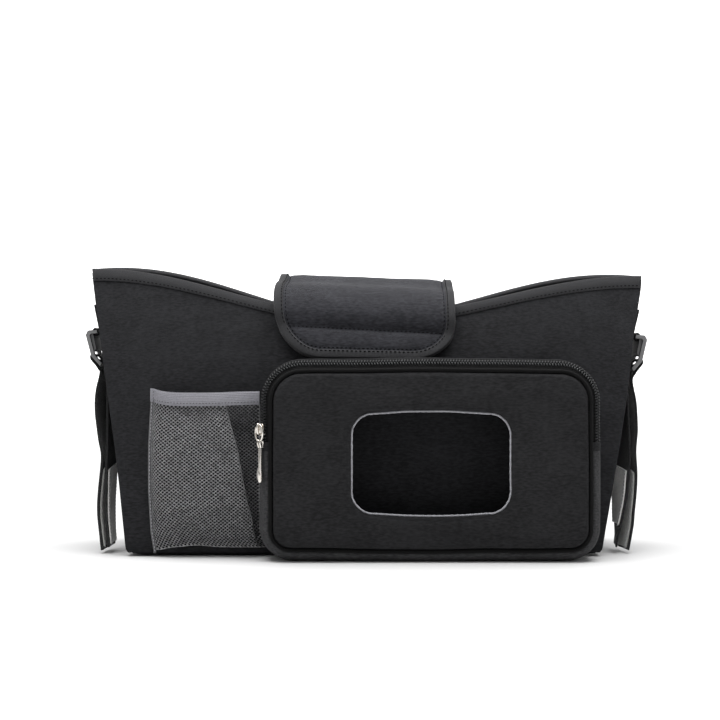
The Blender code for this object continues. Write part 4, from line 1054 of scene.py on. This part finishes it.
def ovalOutline(half, length, low, power, count=20):
    outline = []
    for i in range(count):
        across = signedPower(math.cos(math.tau * i / count), power)
        up = signedPower(math.sin(math.tau * i / count), power)
        outline.append((half * across, low + length / 2 * (1 + up)))
    return outline


def joinTube(bm, points, radius, closed=False, sides=10):
    tube = bpy.data.meshes.new("tube")
    made = roundTube(points, radius, closed, sides)
    made.to_mesh(tube)
    made.free()
    bm.from_mesh(tube)
    bpy.data.meshes.remove(tube)


bm = bmesh.new()
plateOutline = ovalOutline(metal["plateHalf"], metal["plateLength"], -metal["plateLength"] / 2, 0.6)
metalPlate(bm, plateOutline, metal["standOff"] - metal["plate"], metal["standOff"])
metalPlate(bm, plateOutline, -metal["standOff"], metal["plate"] - metal["standOff"])
metalPlate(bm, [(-0.0006, 0.0040), (0.0006, 0.0040), (0.0006, 0.0022), (-0.0006, 0.0022)],
           -metal["standOff"], metal["standOff"])
crown = smoothRoute([onSlider(0, metal["standOff"] - 0.0006, 0.0034), onSlider(0, 0.0042, 0.0037),
                     onSlider(0, metal["crown"], 0.0024), onSlider(0, metal["crown"] + 0.0001, 0.0002),
                     onSlider(0, 0.0046, -0.0024), onSlider(0, metal["standOff"] - 0.0006, -0.0032)], 6)
joinTube(bm, crown, metal["crownWire"])
bmesh.ops.recalc_face_normals(bm, faces=bm.faces)
sliderPiece = addPiece("slider", bm, nickel, "slider", ("zip_slider",))
roundEdges(sliderPiece, 0.00025, 3, 35)

ringPoints = []
for i in range(40):
    angle = math.tau * i / 40
    ringPoints.append(onSlider(metal["ringHalf"] * math.cos(angle), metal["out"],
                               metal["ringTop"] - metal["ringLength"] / 2 * (1 - math.sin(angle))))
addPiece("pullRing", roundTube(ringPoints, metal["ringWire"], True, 12), nickel, "pull_ring",
         ("zip_pull_ring",))

bm = bmesh.new()
eye, half, low = metal["eyeHeight"], metal["barHalf"], metal["barLow"]
hook = ((-0.0012, -0.0036), (-0.0013, -0.0004), (0, 0.0011), (0.0013, -0.0004), (0.0004, -0.0036))
for across in (metal["hang"] - metal["eyeHalf"], metal["hang"] + metal["eyeHalf"]):
    prong = [onSlider(across, metal["out"] + out, eye + height) for out, height in hook]
    joinTube(bm, smoothRoute(prong, 5), metal["eyeWire"])
near, far = metal["out"] - metal["barThickness"] / 2, metal["out"] + metal["barThickness"] / 2
bar = [(-half * 0.95, eye - 0.0026), (half * 0.95, eye - 0.0026), (half * 0.80, eye - 0.0100),
       (half * 0.85, low + 0.0090), (half, low + 0.0050), (half * 0.95, low + 0.0012),
       (half * 0.55, low), (-half * 0.55, low),
       (-half * 0.95, low + 0.0012), (-half * 1.75, low + 0.0034), (-half * 1.85, low + 0.0062),
       (-half * 1.45, low + 0.0086), (-half * 0.85, low + 0.0098), (-half * 0.80, eye - 0.0100)]
metalPlate(bm, [(along + metal["hang"], height) for along, height in bar], near, far)
# The pull's raised lobe is its lower end, drawn in towards its own middle
lobeMiddle, lobeShare = low + 0.0054, 0.62
lobe = [(along * lobeShare + metal["hang"], lobeMiddle + (height - lobeMiddle) * lobeShare)
        for along, height in bar[4:13]]
metalPlate(bm, lobe, far - 0.0002, far + 0.00045)
bmesh.ops.recalc_face_normals(bm, faces=bm.faces)
pullPiece = addPiece("pull", bm, nickel, "pull", ("zip_pull",))
roundEdges(pullPiece, 0.00028, 3, 30)
print("wipes pocket made")


# Mesh pocket: s runs from its left edge to the wipes pocket, v from its bottom to its top.
# Its places are (height share, value) lists, read off by a straight blend between them

net = {
    "bottom": 0.0063, "top": 0.1066, "pitchUp": 0.00246, "thread": 0.00023,
    "cornerCut": 0.00034, "crown": 0.00030, "thickness": 0.00035, "columns": 30, "bindingWidth": 0.0019,
    "left": ((0.0, -0.1462), (0.12, -0.1482), (0.4, -0.1500), (0.7, -0.1503), (1.0, -0.1492)),
    "ridge": ((0.0, -0.0754), (0.2, -0.0780), (0.34, -0.0815), (0.5, -0.0845), (0.7, -0.0880),
              (0.84, -0.0921), (1.0, -0.0968)),
    "depth": ((0.0, 0.0016), (0.04, 0.0052), (0.12, 0.0105), (0.3, 0.0140), (0.8, 0.0132), (1.0, 0.0112)),
    "fold": ((0.0, 0.35), (0.1, 0.85), (0.85, 1.0), (1.0, 0.45)),
    "flank": ((0.0, 0.0175), (0.2, 0.0145), (0.5, 0.0088), (0.85, 0.0092), (1.0, 0.0115)),
    "standOff": 0.0006, "levels": 60, "sectionSteps": 6, "crest": 8,
}
elastic = {"height": 0.0092, "thickness": 0.0014}


def netRight(z):
    radius = pocket["lowRadius"] + pocket["sideOffset"] + 0.0012
    centreX, centreZ = pocket["left"] + pocket["lowRadius"], pocket["bottom"] + pocket["lowRadius"]
    if z >= centreZ:
        return centreX - radius
    return centreX - math.sqrt(max(radius ** 2 - (centreZ - z) ** 2, 0.0))


# One level cross-section of the net: (x, distance out from the wall). The pleat overlaps on its right
def netSection(v, pleated=1.0):
    keys = ("left", "ridge", "depth", "fold", "flank")
    left, ridge, depth, fold, flank = (blended(net[key], v) for key in keys)
    left += net["bindingWidth"]
    right = netRight(net["bottom"] + v * (net["top"] - net["bottom"]))
    fold *= pleated
    valley = 0.0022 * blendStep(0.45, 0.9, v) * pleated
    back = depth * (1 - 0.76 * fold)
    front, end = left + flank, ridge - 0.0040
    span = end - front
    points = [(left, 0.0006), (left + flank * 0.10, depth * 0.36), (left + flank * 0.42, depth * 0.74),
              (front, depth * 0.95), (front + span * 0.28, depth), (front + span * 0.54, depth - valley),
              (front + span * 0.78, depth * 1.02), (end, depth * 1.04), (ridge, depth * (1.04 - 0.07 * fold)),
              (ridge + 0.0016 - 0.0018 * fold, depth * (1.0 - 0.26 * fold)),
              (ridge + 0.0034 - 0.0040 * fold, depth * (1.0 - 0.56 * fold)),
              (ridge + 0.0070 - 0.0056 * fold, back * 1.05), ((ridge + right) / 2 + 0.002, back),
              (right, back * 0.9)]
    route = smoothRoute([Vector((x, out, 0)) for x, out in points], net["sectionSteps"])
    return route, walkedMarks(route)


netLevels = [netSection(i / net["levels"]) for i in range(net["levels"] + 1)]


def onSection(level, s):
    route, marks = level
    k, share = segmentAt(marks, min(max(s, 0.0), 1.0) * marks[-1])
    return route[k].lerp(route[k + 1], share)


# The lower seam and the elastic both rise at their left ends
def netHeight(s, v):
    low = 0.0066 - 0.0020 * math.exp(-(s / 0.10) ** 2) + 0.0013 * math.exp(-((s - 0.36) / 0.14) ** 2)
    high = 0.1041 + 0.0027 * math.exp(-(s / 0.16) ** 2) + 0.0010 * blendStep(0.5, 1.0, s)
    return low + v * (high - low)


def netPlace(s, v, lift=0.0, level=None):
    share = min(max(v, 0.0), 1.0) * net["levels"]
    k = min(int(share), net["levels"] - 1)
    spot = onSection(level or netLevels[k], s).lerp(onSection(level or netLevels[k + 1], s), share - k)
    z = netHeight(s, v)
    soft = (0.0009 * ripple((s * 3, v * 3, 0), 1.6, 51) + 0.0004 * ripple((s * 3, v * 3, 0), 5.0, 52))
    soft *= min(1.0, s / 0.08) * min(1.0, (1 - s) / 0.08) * min(1.0, v / 0.1)
    fromCrease = s - 0.17 - 0.16 * max(0.0, 0.40 - v)
    crease = 0.0011 * math.exp(-(fromCrease / 0.016) ** 2) * max(0.0, 1 - v / 0.42)
    rest = outerDepth(spot.x, max(z, 0.0)) + net["standOff"]
    return Vector((spot.x, -(rest + max(spot.y + soft + crease, 0.0002) + lift), z))


# The net's colour, scaled down by share; a share below 1 paints shade
def netShade(name, share):
    shader = Shader(name, (0.3, 0.3, 0.3), 0.62, Sheen_Weight=0.05)
    shader.mottle(scaled((0.12, 0.12, 0.124), share), scaled((0.46, 0.46, 0.47), share), 900, 300)
    return shader.grain(3200).bump(0.5, 0.0002).material


# Where a face lies past the pleat's crest, which is the ninth of a section's points: these faces get painted
# shade
def behindPleat(s, v):
    marks = netLevels[min(max(round(v * net["levels"]), 0), net["levels"])][1]
    return s * marks[-1] > marks[net["crest"] * net["sectionSteps"]] + 0.0008


# The net: a grid's faces are split into diamonds, each is inset and rounded, and the holes go out
netRows = round((net["top"] - net["bottom"]) / net["pitchUp"])
bm = bmesh.new()
bmesh.ops.create_grid(bm, x_segments=net["columns"], y_segments=netRows, size=1)
# The cloth is as wide as its mean run over bulge and pleat: it gathers where the run is shorter than that
# and stretches where it is longer
netWidth = sum(marks[-1] for _, marks in netLevels) / len(netLevels)
netLength = net["top"] - net["bottom"]
for vert in bm.verts:
    vert.co = (vert.co.x * netWidth / 2, vert.co.y * netLength / 2, 0)
inner = [edge for edge in bm.edges if not edge.is_boundary]
bmesh.ops.poke(bm, faces=bm.faces)
bmesh.ops.dissolve_edges(bm, edges=inner, use_verts=False)
crossings = set(bm.verts)
holes = [face for face in bm.faces if len(face.verts) == 4]
bmesh.ops.inset_individual(bm, faces=holes, thickness=net["thread"], use_even_offset=True)
rims = {vert for face in holes for vert in face.verts}
bmesh.ops.bevel(bm, geom=list(rims), offset=net["cornerCut"], segments=1, affect="VERTICES", profile=0.5)
bmesh.ops.delete(bm, geom=[face for face in bm.faces if len(face.verts) == 8], context="FACES")
uv = bm.loops.layers.uv.new("cloth")
for face in bm.faces:
    for loop in face.loops:
        loop[uv].uv = (loop.vert.co.x, loop.vert.co.y)
    centre = face.calc_center_median()
    # Faces past the pleat's crest take the second material, the painted shade
    face.material_index = int(behindPleat(centre.x / netWidth + 0.5, centre.y / netLength + 0.5))
for vert in bm.verts:
    lift = net["crown"] if vert in crossings else 0.0
    vert.co = netPlace(vert.co.x / netWidth + 0.5, vert.co.y / netLength + 0.5, lift)
bmesh.ops.recalc_face_normals(bm, faces=bm.faces)
if sum(face.normal.y * face.calc_area() for face in bm.faces) > 0:
    bmesh.ops.reverse_faces(bm, faces=bm.faces)
print("net", len(bm.faces), "faces, cut", round(netWidth, 4), "by", round(netLength, 4))
netPiece = addPiece("meshNet", bm, netShade("netShade", 1.0), replaced=("mesh_sheet",))
# A darker copy of the net's colour: painted shade in the pleat's fold
netPiece.data.materials.append(netShade("netPaintedShade", 0.55))
thicken(netPiece, net["thickness"])

# The elastic keeps the pocket's bulge but not its pleat
elasticLevel = netSection(1.0, 0.0)
sections = []
for i in range(73):
    s = i / 72
    at = [netPlace(s, 1.0, 0.0010 + lift, elasticLevel) for lift in (0.0, elastic["thickness"])]
    if s < 0.02:
        at = [spot + Vector((-net["bindingWidth"] * (1 - s / 0.02), 0, 0)) for spot in at]
    lean = 0.35 * blendStep(0.04, 0.2, s) * (1 - blendStep(0.8, 1.0, s))
    wave = 0.0003 * ripple((s * 8, 0, 0), 1.0, 61)
    section = []
    for share, side in ((0.0, 0), (0.0, 1), (0.25, 1), (0.5, 1), (0.75, 1), (1.0, 1), (1.0, 0), (0.5, 0)):
        rise = -0.0006 + share * elastic["height"]
        back = -lean * rise * 0.3
        curl = 0.00045 * math.sin(math.pi * share) * side
        section.append(at[side] + Vector((0, -wave - curl - back, rise)))
    sections.append(section)
bm = sweptBand(sections)
elasticPiece = addPiece("meshElastic", bm, elasticTape, replaced=("mesh_elastic",))
roundEdges(elasticPiece, 0.00035, 2)
lowStitch = [sections[i][1].lerp(sections[i][2], 0.85) + Vector((0, -0.00022, 0)) for i in range(2, 72)]
seam("elasticSeam", [lowStitch], frontNormal, darkGreyThread,
     pitch=0.0022, length=0.0011, radius=0.00030)
endStitch = [sections[3][1] + Vector((0, -0.0006, k * 0.0008)) for k in range(1, 11)]
seam("elasticEndSeam", [endStitch], frontNormal, darkGreyThread,
     pitch=0.0021, length=0.0011, radius=0.00026)

sections = []
for i in range(61):
    v = i / 60 * 1.02 - 0.02
    z = netHeight(0.0, v)
    left = blended(net["left"], max(v, 0.0))
    wave = 0.00025 * ripple((0, 0, z), 140, 63)
    right = left + net["bindingWidth"]
    near, far = (outerDepth(x, max(z, 0.0)) + net["standOff"] for x in (left, right))
    outline = [(left + wave, near), (left + wave * 0.5, near + 0.0009),
               (left + net["bindingWidth"] * 0.5, near + 0.0015 + wave), (right, far + 0.0013), (right, far)]
    sections.append([Vector((x, -depth, z)) for x, depth in outline])
addPiece("meshSideBinding", sweptBand(sections), netEdgeTape, replaced=("mesh_side_binding",))
sideStitch = [section[2] + Vector((0.0002, -0.0001, 0)) for section in sections[1:-1]]
seam("meshSideSeam", [sideStitch], frontNormal, paleThread,
     pitch=0.0024, length=0.0015, radius=0.00030)
print("mesh pocket made")


# Sides: each strap runs up its inner ply, over the buckle's lower bar and down its outer ply.
# A ply is a list of (distance out from the bag's side, height)

strap = {
    "half": 0.0125, "thickness": 0.0015, "lean": 0.028, "patchHalf": 0.0110, "patchThickness": 0.0011,
    "patchLength": 0.058, "gap": 0.0003, "tabHalf": 0.0120, "tabThickness": 0.0010, "tabTail": 0.018,
    "loopRadius": 0.0025, "pivotOut": 0.0034, "pivotDrop": 0.0013, "stitchIn": 0.0011, "slant": 0.0040,
    "seed": 3.1, "steps": 6, "tabOut": 0.0006,
}
buckle = {
    "halfLength": 0.0165, "rail": 0.0033, "overlap": 0.0008, "windowDrop": 0.0200,
    "outline": ((0.0022, 0), (0.0088, -0.0004), (0.0110, -0.0035), (0.0100, -0.0190), (0.0050, -0.0262),
                (0.0032, -0.0236), (0.0070, -0.0180), (0.0080, -0.0042), (0.0070, -0.0030),
                (0.0022, -0.0026)),
    "topBar": ((0.0022, 0), (0.0088, -0.0004), (0.0094, -0.0012), (0.0082, -0.0031), (0.0070, -0.0030),
               (0.0022, -0.0026)),
    "plate": ((0.0092, -0.0012), (0.0110, -0.0035), (0.0103, -0.0156), (0.0066, -0.0150), (0.0056, -0.0130),
              (0.0056, -0.0028), (0.0070, -0.0024)),
    "lowBar": ((0.0072, -0.0233), (0.0050, -0.0262), (0.0032, -0.0236), (0.0054, -0.0207)),
}
# The webbing's way round the lower bar, as (out, height below the buckle's top)
overBar = ((0.0020, -0.0262), (0.0022, -0.0232), (0.0046, -0.0190), (0.0072, -0.0180), (0.0102, -0.0182),
           (0.0108, -0.0206), (0.0084, -0.0243), (0.0066, -0.0275))
sides = {
    "left": {
        "side": -1, "height": 0.1565,
        "outerTwist": ((0, 3), (0.07, 3), (0.095, 9), (0.115, 9), (0.13, 0)),
        "innerTwist": ((0, 0), (0.026, 3), (0.056, 7), (0.075, 7), (0.118, 0)),
        "outer": ((0.0055, 0.125), (0.0105, 0.105), (0.0125, 0.080), (0.0125, 0.066), (0.0165, 0.046),
                  (0.0188, 0.026), (0.0180, 0.0025)),
        "inner": ((0.0138, 0.0045), (0.0134, 0.026), (0.0100, 0.056), (0.0070, 0.076), (0.0024, 0.118)),
        "patchLow": {"inner": 0.0, "outer": 0.0},
    },
    "right": {
        "side": 1, "height": 0.1530,
        "outerTwist": ((0, 7), (0.085, 7), (0.125, 0)),
        "innerTwist": ((0.0, -7), (0.010, -6), (0.024, 4), (0.042, 15), (0.065, 18), (0.118, 0)),
        "outer": ((0.0050, 0.120), (0.0092, 0.105), (0.0126, 0.086), (0.0140, 0.070), (0.0178, 0.051),
                  (0.0192, 0.030), (0.0200, 0.018), (0.0190, 0.0025)),
        "inner": ((0.0132, 0.0045), (0.0126, 0.024), (0.0094, 0.059), (0.0061, 0.086), (0.0018, 0.118)),
        "patchLow": {"inner": 0.018, "outer": 0.0},
    },
}


# A flat band along a route of (out, height): across runs from its front edge to its back edge
def ribbonPlace(route, side, half, lean, twistAt, seed=0.0, slant=0.0):
    count = len(route) - 1

    def place(s, t):
        share = t * count
        k = min(int(share), count - 1)
        spot = route[k].lerp(route[k + 1], share - k)
        across = (2 * s - 1) * half
        turn = math.radians(twistAt(spot.y))
        cup = 0.0004 * (1 - (2 * s - 1) ** 2) + 0.0002 * ripple((s * 2, spot.y * 60, seed), 1.0, seed)
        out = spot.x + cup - across * math.sin(turn)
        return Vector((side * out, across * math.cos(turn) + lean(spot.y), spot.y + slant * (s - 0.5) * t))
    return place


def ribbonPiece(name, place, rows, size, material, body, replaced, thickness, side):
    piece = addPiece(name, mappedSheet(14, rows, place, size, (side, 0, 0)), material, body, replaced)
    roundEdges(thicken(piece, thickness, 0.0), min(0.0005, thickness * 0.4), 2)


for label, at in sides.items():
    side, height, body = at["side"], at["height"], f"{label}_buckle"

    def lean(z, height=height):
        return -strap["lean"] * max(0.0, 1 - z / (height - buckle["windowDrop"]))

    bm = bmesh.new()
    end, railEdge = buckle["halfLength"], buckle["halfLength"] - buckle["rail"]
    barEnd = railEdge + buckle["overlap"]
    for key, near, far in (("outline", -end, -railEdge), ("outline", railEdge, end),
                           ("topBar", -barEnd, barEnd), ("plate", -barEnd, barEnd),
                           ("lowBar", -barEnd, barEnd)):
        profile = [(side * (sideEdge(side, height + z) + x), height + z) for x, z in buckle[key]]
        joinPlate(bm, profile, lambda x, z, y: (x, y, z), (near, far))
    bmesh.ops.recalc_face_normals(bm, faces=bm.faces)
    # Faces that look to the front or back get the painted-light grey, the rest the black plastic
    for face in bm.faces:
        face.material_index = int(abs(face.normal.y) > 0.9)
    piece = addPiece(f"{label}Buckle", bm, bucklePlastic, body, (f"buckle_{label}",))
    piece.data.materials.append(paintedLitBuckleFace)
    roundEdges(piece, 0.0006, 3, 25)
    piece.modifiers.new("flatFaces", "WEIGHTED_NORMAL")

    inner, outer = ([(sideEdge(side, z) + x, z) for x, z in at[ply]] for ply in ("inner", "outer"))
    over = [(sideEdge(side, height + z) + x, height + z) for x, z in overBar]
    plies = [Vector((x, z, 0)) for x, z in inner + over + outer]
    route = smoothRoute(plies, strap["steps"])
    turnAt = strap["steps"] * (len(inner) + 3)

    def innerTwist(z, at=at):
        return blended(at["innerTwist"], z)

    def outerTwist(z, at=at):
        return blended(at["outerTwist"], z)

    # The whole strap is one sheet of webbing, so its twist follows the ply that it is in
    turnShare = turnAt / (len(route) - 1)
    innerPlace = ribbonPlace(route, side, strap["half"], lean, innerTwist, strap["seed"])
    outerPlace = ribbonPlace(route, side, strap["half"], lean, outerTwist, strap["seed"])

    def strapPlace(s, t, turnShare=turnShare, innerPlace=innerPlace, outerPlace=outerPlace):
        return innerPlace(s, t) if t < turnShare else outerPlace(s, t)
    length = walkedMarks(route)[-1]
    ribbonPiece(f"{label}Strap", strapPlace, 190, (2 * strap["half"], length), webbingTape, body,
                (f"strap_{label}",), strap["thickness"], side)
    print(label, "strap length", round(length, 4))

    shift = strap["thickness"] / 2 + strap["gap"] + strap["patchThickness"] / 2
    parts = (("inner", inner, innerTwist, loopFuzz), ("outer", outer, outerTwist, darkLoopFuzz))
    for ply, points, twistAt, material in parts:
        whole = smoothRoute([Vector((x, z, 0)) for x, z in points], strap["steps"])
        ends = sorted((points[0][1], points[-1][1]))
        low = max(ends[0], at["patchLow"][ply])
        part = [point for point in whole if low <= point.y < ends[0] + strap["patchLength"]]
        if ply == "outer":
            part = part[::-1]
        moved = [Vector((point.x - shift, point.y, 0)) for point in part]
        place = ribbonPlace(moved, side, strap["patchHalf"], lean, twistAt, strap["seed"], strap["slant"])
        patchLength = walkedMarks(moved)[-1]
        ribbonPiece(f"{label}Patch{ply.title()}", place, 60, (2 * strap["patchHalf"], patchLength), material,
                    body, (f"strap_patch_{label}_{ply}",), strap["patchThickness"], side)
        rim = 1 - strap["stitchIn"] / strap["patchHalf"] / 2
        across = [(1 - rim, i / 60) for i in range(61)]
        across += [(1 - rim + (2 * rim - 1) * i / 20, 1.0) for i in range(1, 20)]
        across += [(rim, 1 - i / 60) for i in range(61)]
        inside = Vector((-side * strap["patchThickness"] / 2, 0, 0))
        stitched = [place(s, min(t, 0.985)) + inside for s, t in across]
        seam(f"{label}{ply.title()}PatchSeam", [stitched], lambda spot, side=side: (-side, -0.4, 0),
             greyThread, body, pitch=0.0026, length=0.0020, radius=0.00042)

    centre = (sideEdge(side, height) + strap["pivotOut"], height - strap["pivotDrop"])
    loop = [(centre[0] + strap["loopRadius"] * math.cos(a), centre[1] + strap["loopRadius"] * math.sin(a))
            for a in (math.radians(160 + 275 * i / 16) for i in range(17))]
    tail = [(sideEdge(side, z) + strap["tabOut"] + strap["tabThickness"] / 2, z)
            for z in (height + strap["tabTail"] * share for share in (1.0, 0.6, 0.3))]
    route = smoothRoute([Vector((x, z, 0)) for x, z in tail + loop], 3)
    place = ribbonPlace(route, side, strap["tabHalf"], lambda z: 0.0, lambda z: 0.0, seed=7.0)
    ribbonPiece(f"{label}Tab", place, 70, (2 * strap["tabHalf"], 0.03), webbingTape, "root",
                (f"buckle_tab_{label}",), strap["tabThickness"], side)
    tabFace = strap["tabOut"] + strap["tabThickness"] + 0.0001
    box, low, high = [], height + 0.0045, height + 0.0165
    for y, z in ((-0.01, low), (-0.01, high), (0.01, high), (0.01, low), (-0.01, low), (0.01, high)):
        box.append(Vector((side * (sideEdge(side, z) + tabFace), y, z)))
    seam(f"{label}TabSeam", [box], lambda spot, side=side: (side, 0, 0), seamThread)
print("sides made")


# Floor and light


def stagePiece(name, bm, material):
    piece = bpy.data.objects.new(name, bpy.data.meshes.new(name))
    bm.to_mesh(piece.data)
    bm.free()
    scene.collection.objects.link(piece)
    piece.data.materials.append(material)
    return piece


# The floor glows a little more with distance, so that it runs into the white backdrop
floorShader = Shader("floorShader", (0.70, 0.70, 0.70), 0.85, Specular_IOR_Level=0.1,
                     Emission_Color=(1, 1, 1, 1))
distance = floorShader.value("ABSOLUTE", floorShader.axes("Object")[1])
glow = floorShader.value("MULTIPLY", floorShader.value("SUBTRACT", distance, 0.3), 0.6)
glow = floorShader.value("MINIMUM", floorShader.value("MAXIMUM", glow, 0.0), 1.0)
floorShader.links.new(glow, floorShader.principled.inputs["Emission Strength"])
bm = mappedSheet(40, 60, lambda s, t: Vector(((s - 0.5) * 9, -2.5 + t * 9, 0)), outward=(0, 0, 1))
floor = stagePiece("floor", bm, floorShader.material)
floor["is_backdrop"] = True

backShader = Shader("backShader", (0.9, 0.9, 0.9), 0.9, Emission_Color=(1, 1, 1, 1), Emission_Strength=1.0)
bm = mappedSheet(4, 4, lambda s, t: Vector(((s - 0.5) * 14, 5.5, -0.5 + t * 7)), outward=(0, -1, 0))
backdrop = stagePiece("backdrop", bm, backShader.material)
backdrop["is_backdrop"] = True

world = bpy.data.worlds.new("studio")
world.use_nodes = True
background = world.node_tree.nodes["Background"]
background.inputs["Color"].default_value = (1, 1, 1, 1)
background.inputs["Strength"].default_value = 0.29
scene.world = world
scene.view_settings.view_transform = "Standard"


def softLight(name, place, target, width, height, power):
    light = bpy.data.objects.new(name, bpy.data.lights.new(name, "AREA"))
    light.data.shape = "RECTANGLE"
    light.data.size, light.data.size_y = width, height
    light.data.energy = power
    light.location = place
    light.rotation_euler = (Vector(target) - Vector(place)).to_track_quat("-Z", "Y").to_euler()
    scene.collection.objects.link(light)


softLight("overhead", (0.0, -0.10, 1.5), (0, 0.0, 0.1), 1.6, 1.3, 42)
softLight("leftFill", (-1.3, -1.6, 0.9), (0, 0, 0.1), 1.0, 1.2, 2.5)
softLight("rightFill", (1.4, -1.5, 0.8), (0, 0, 0.1), 0.9, 1.2, 1.5)

for name, size in (("cad", cadBounds), ("visual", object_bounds())):
    print(name, size)
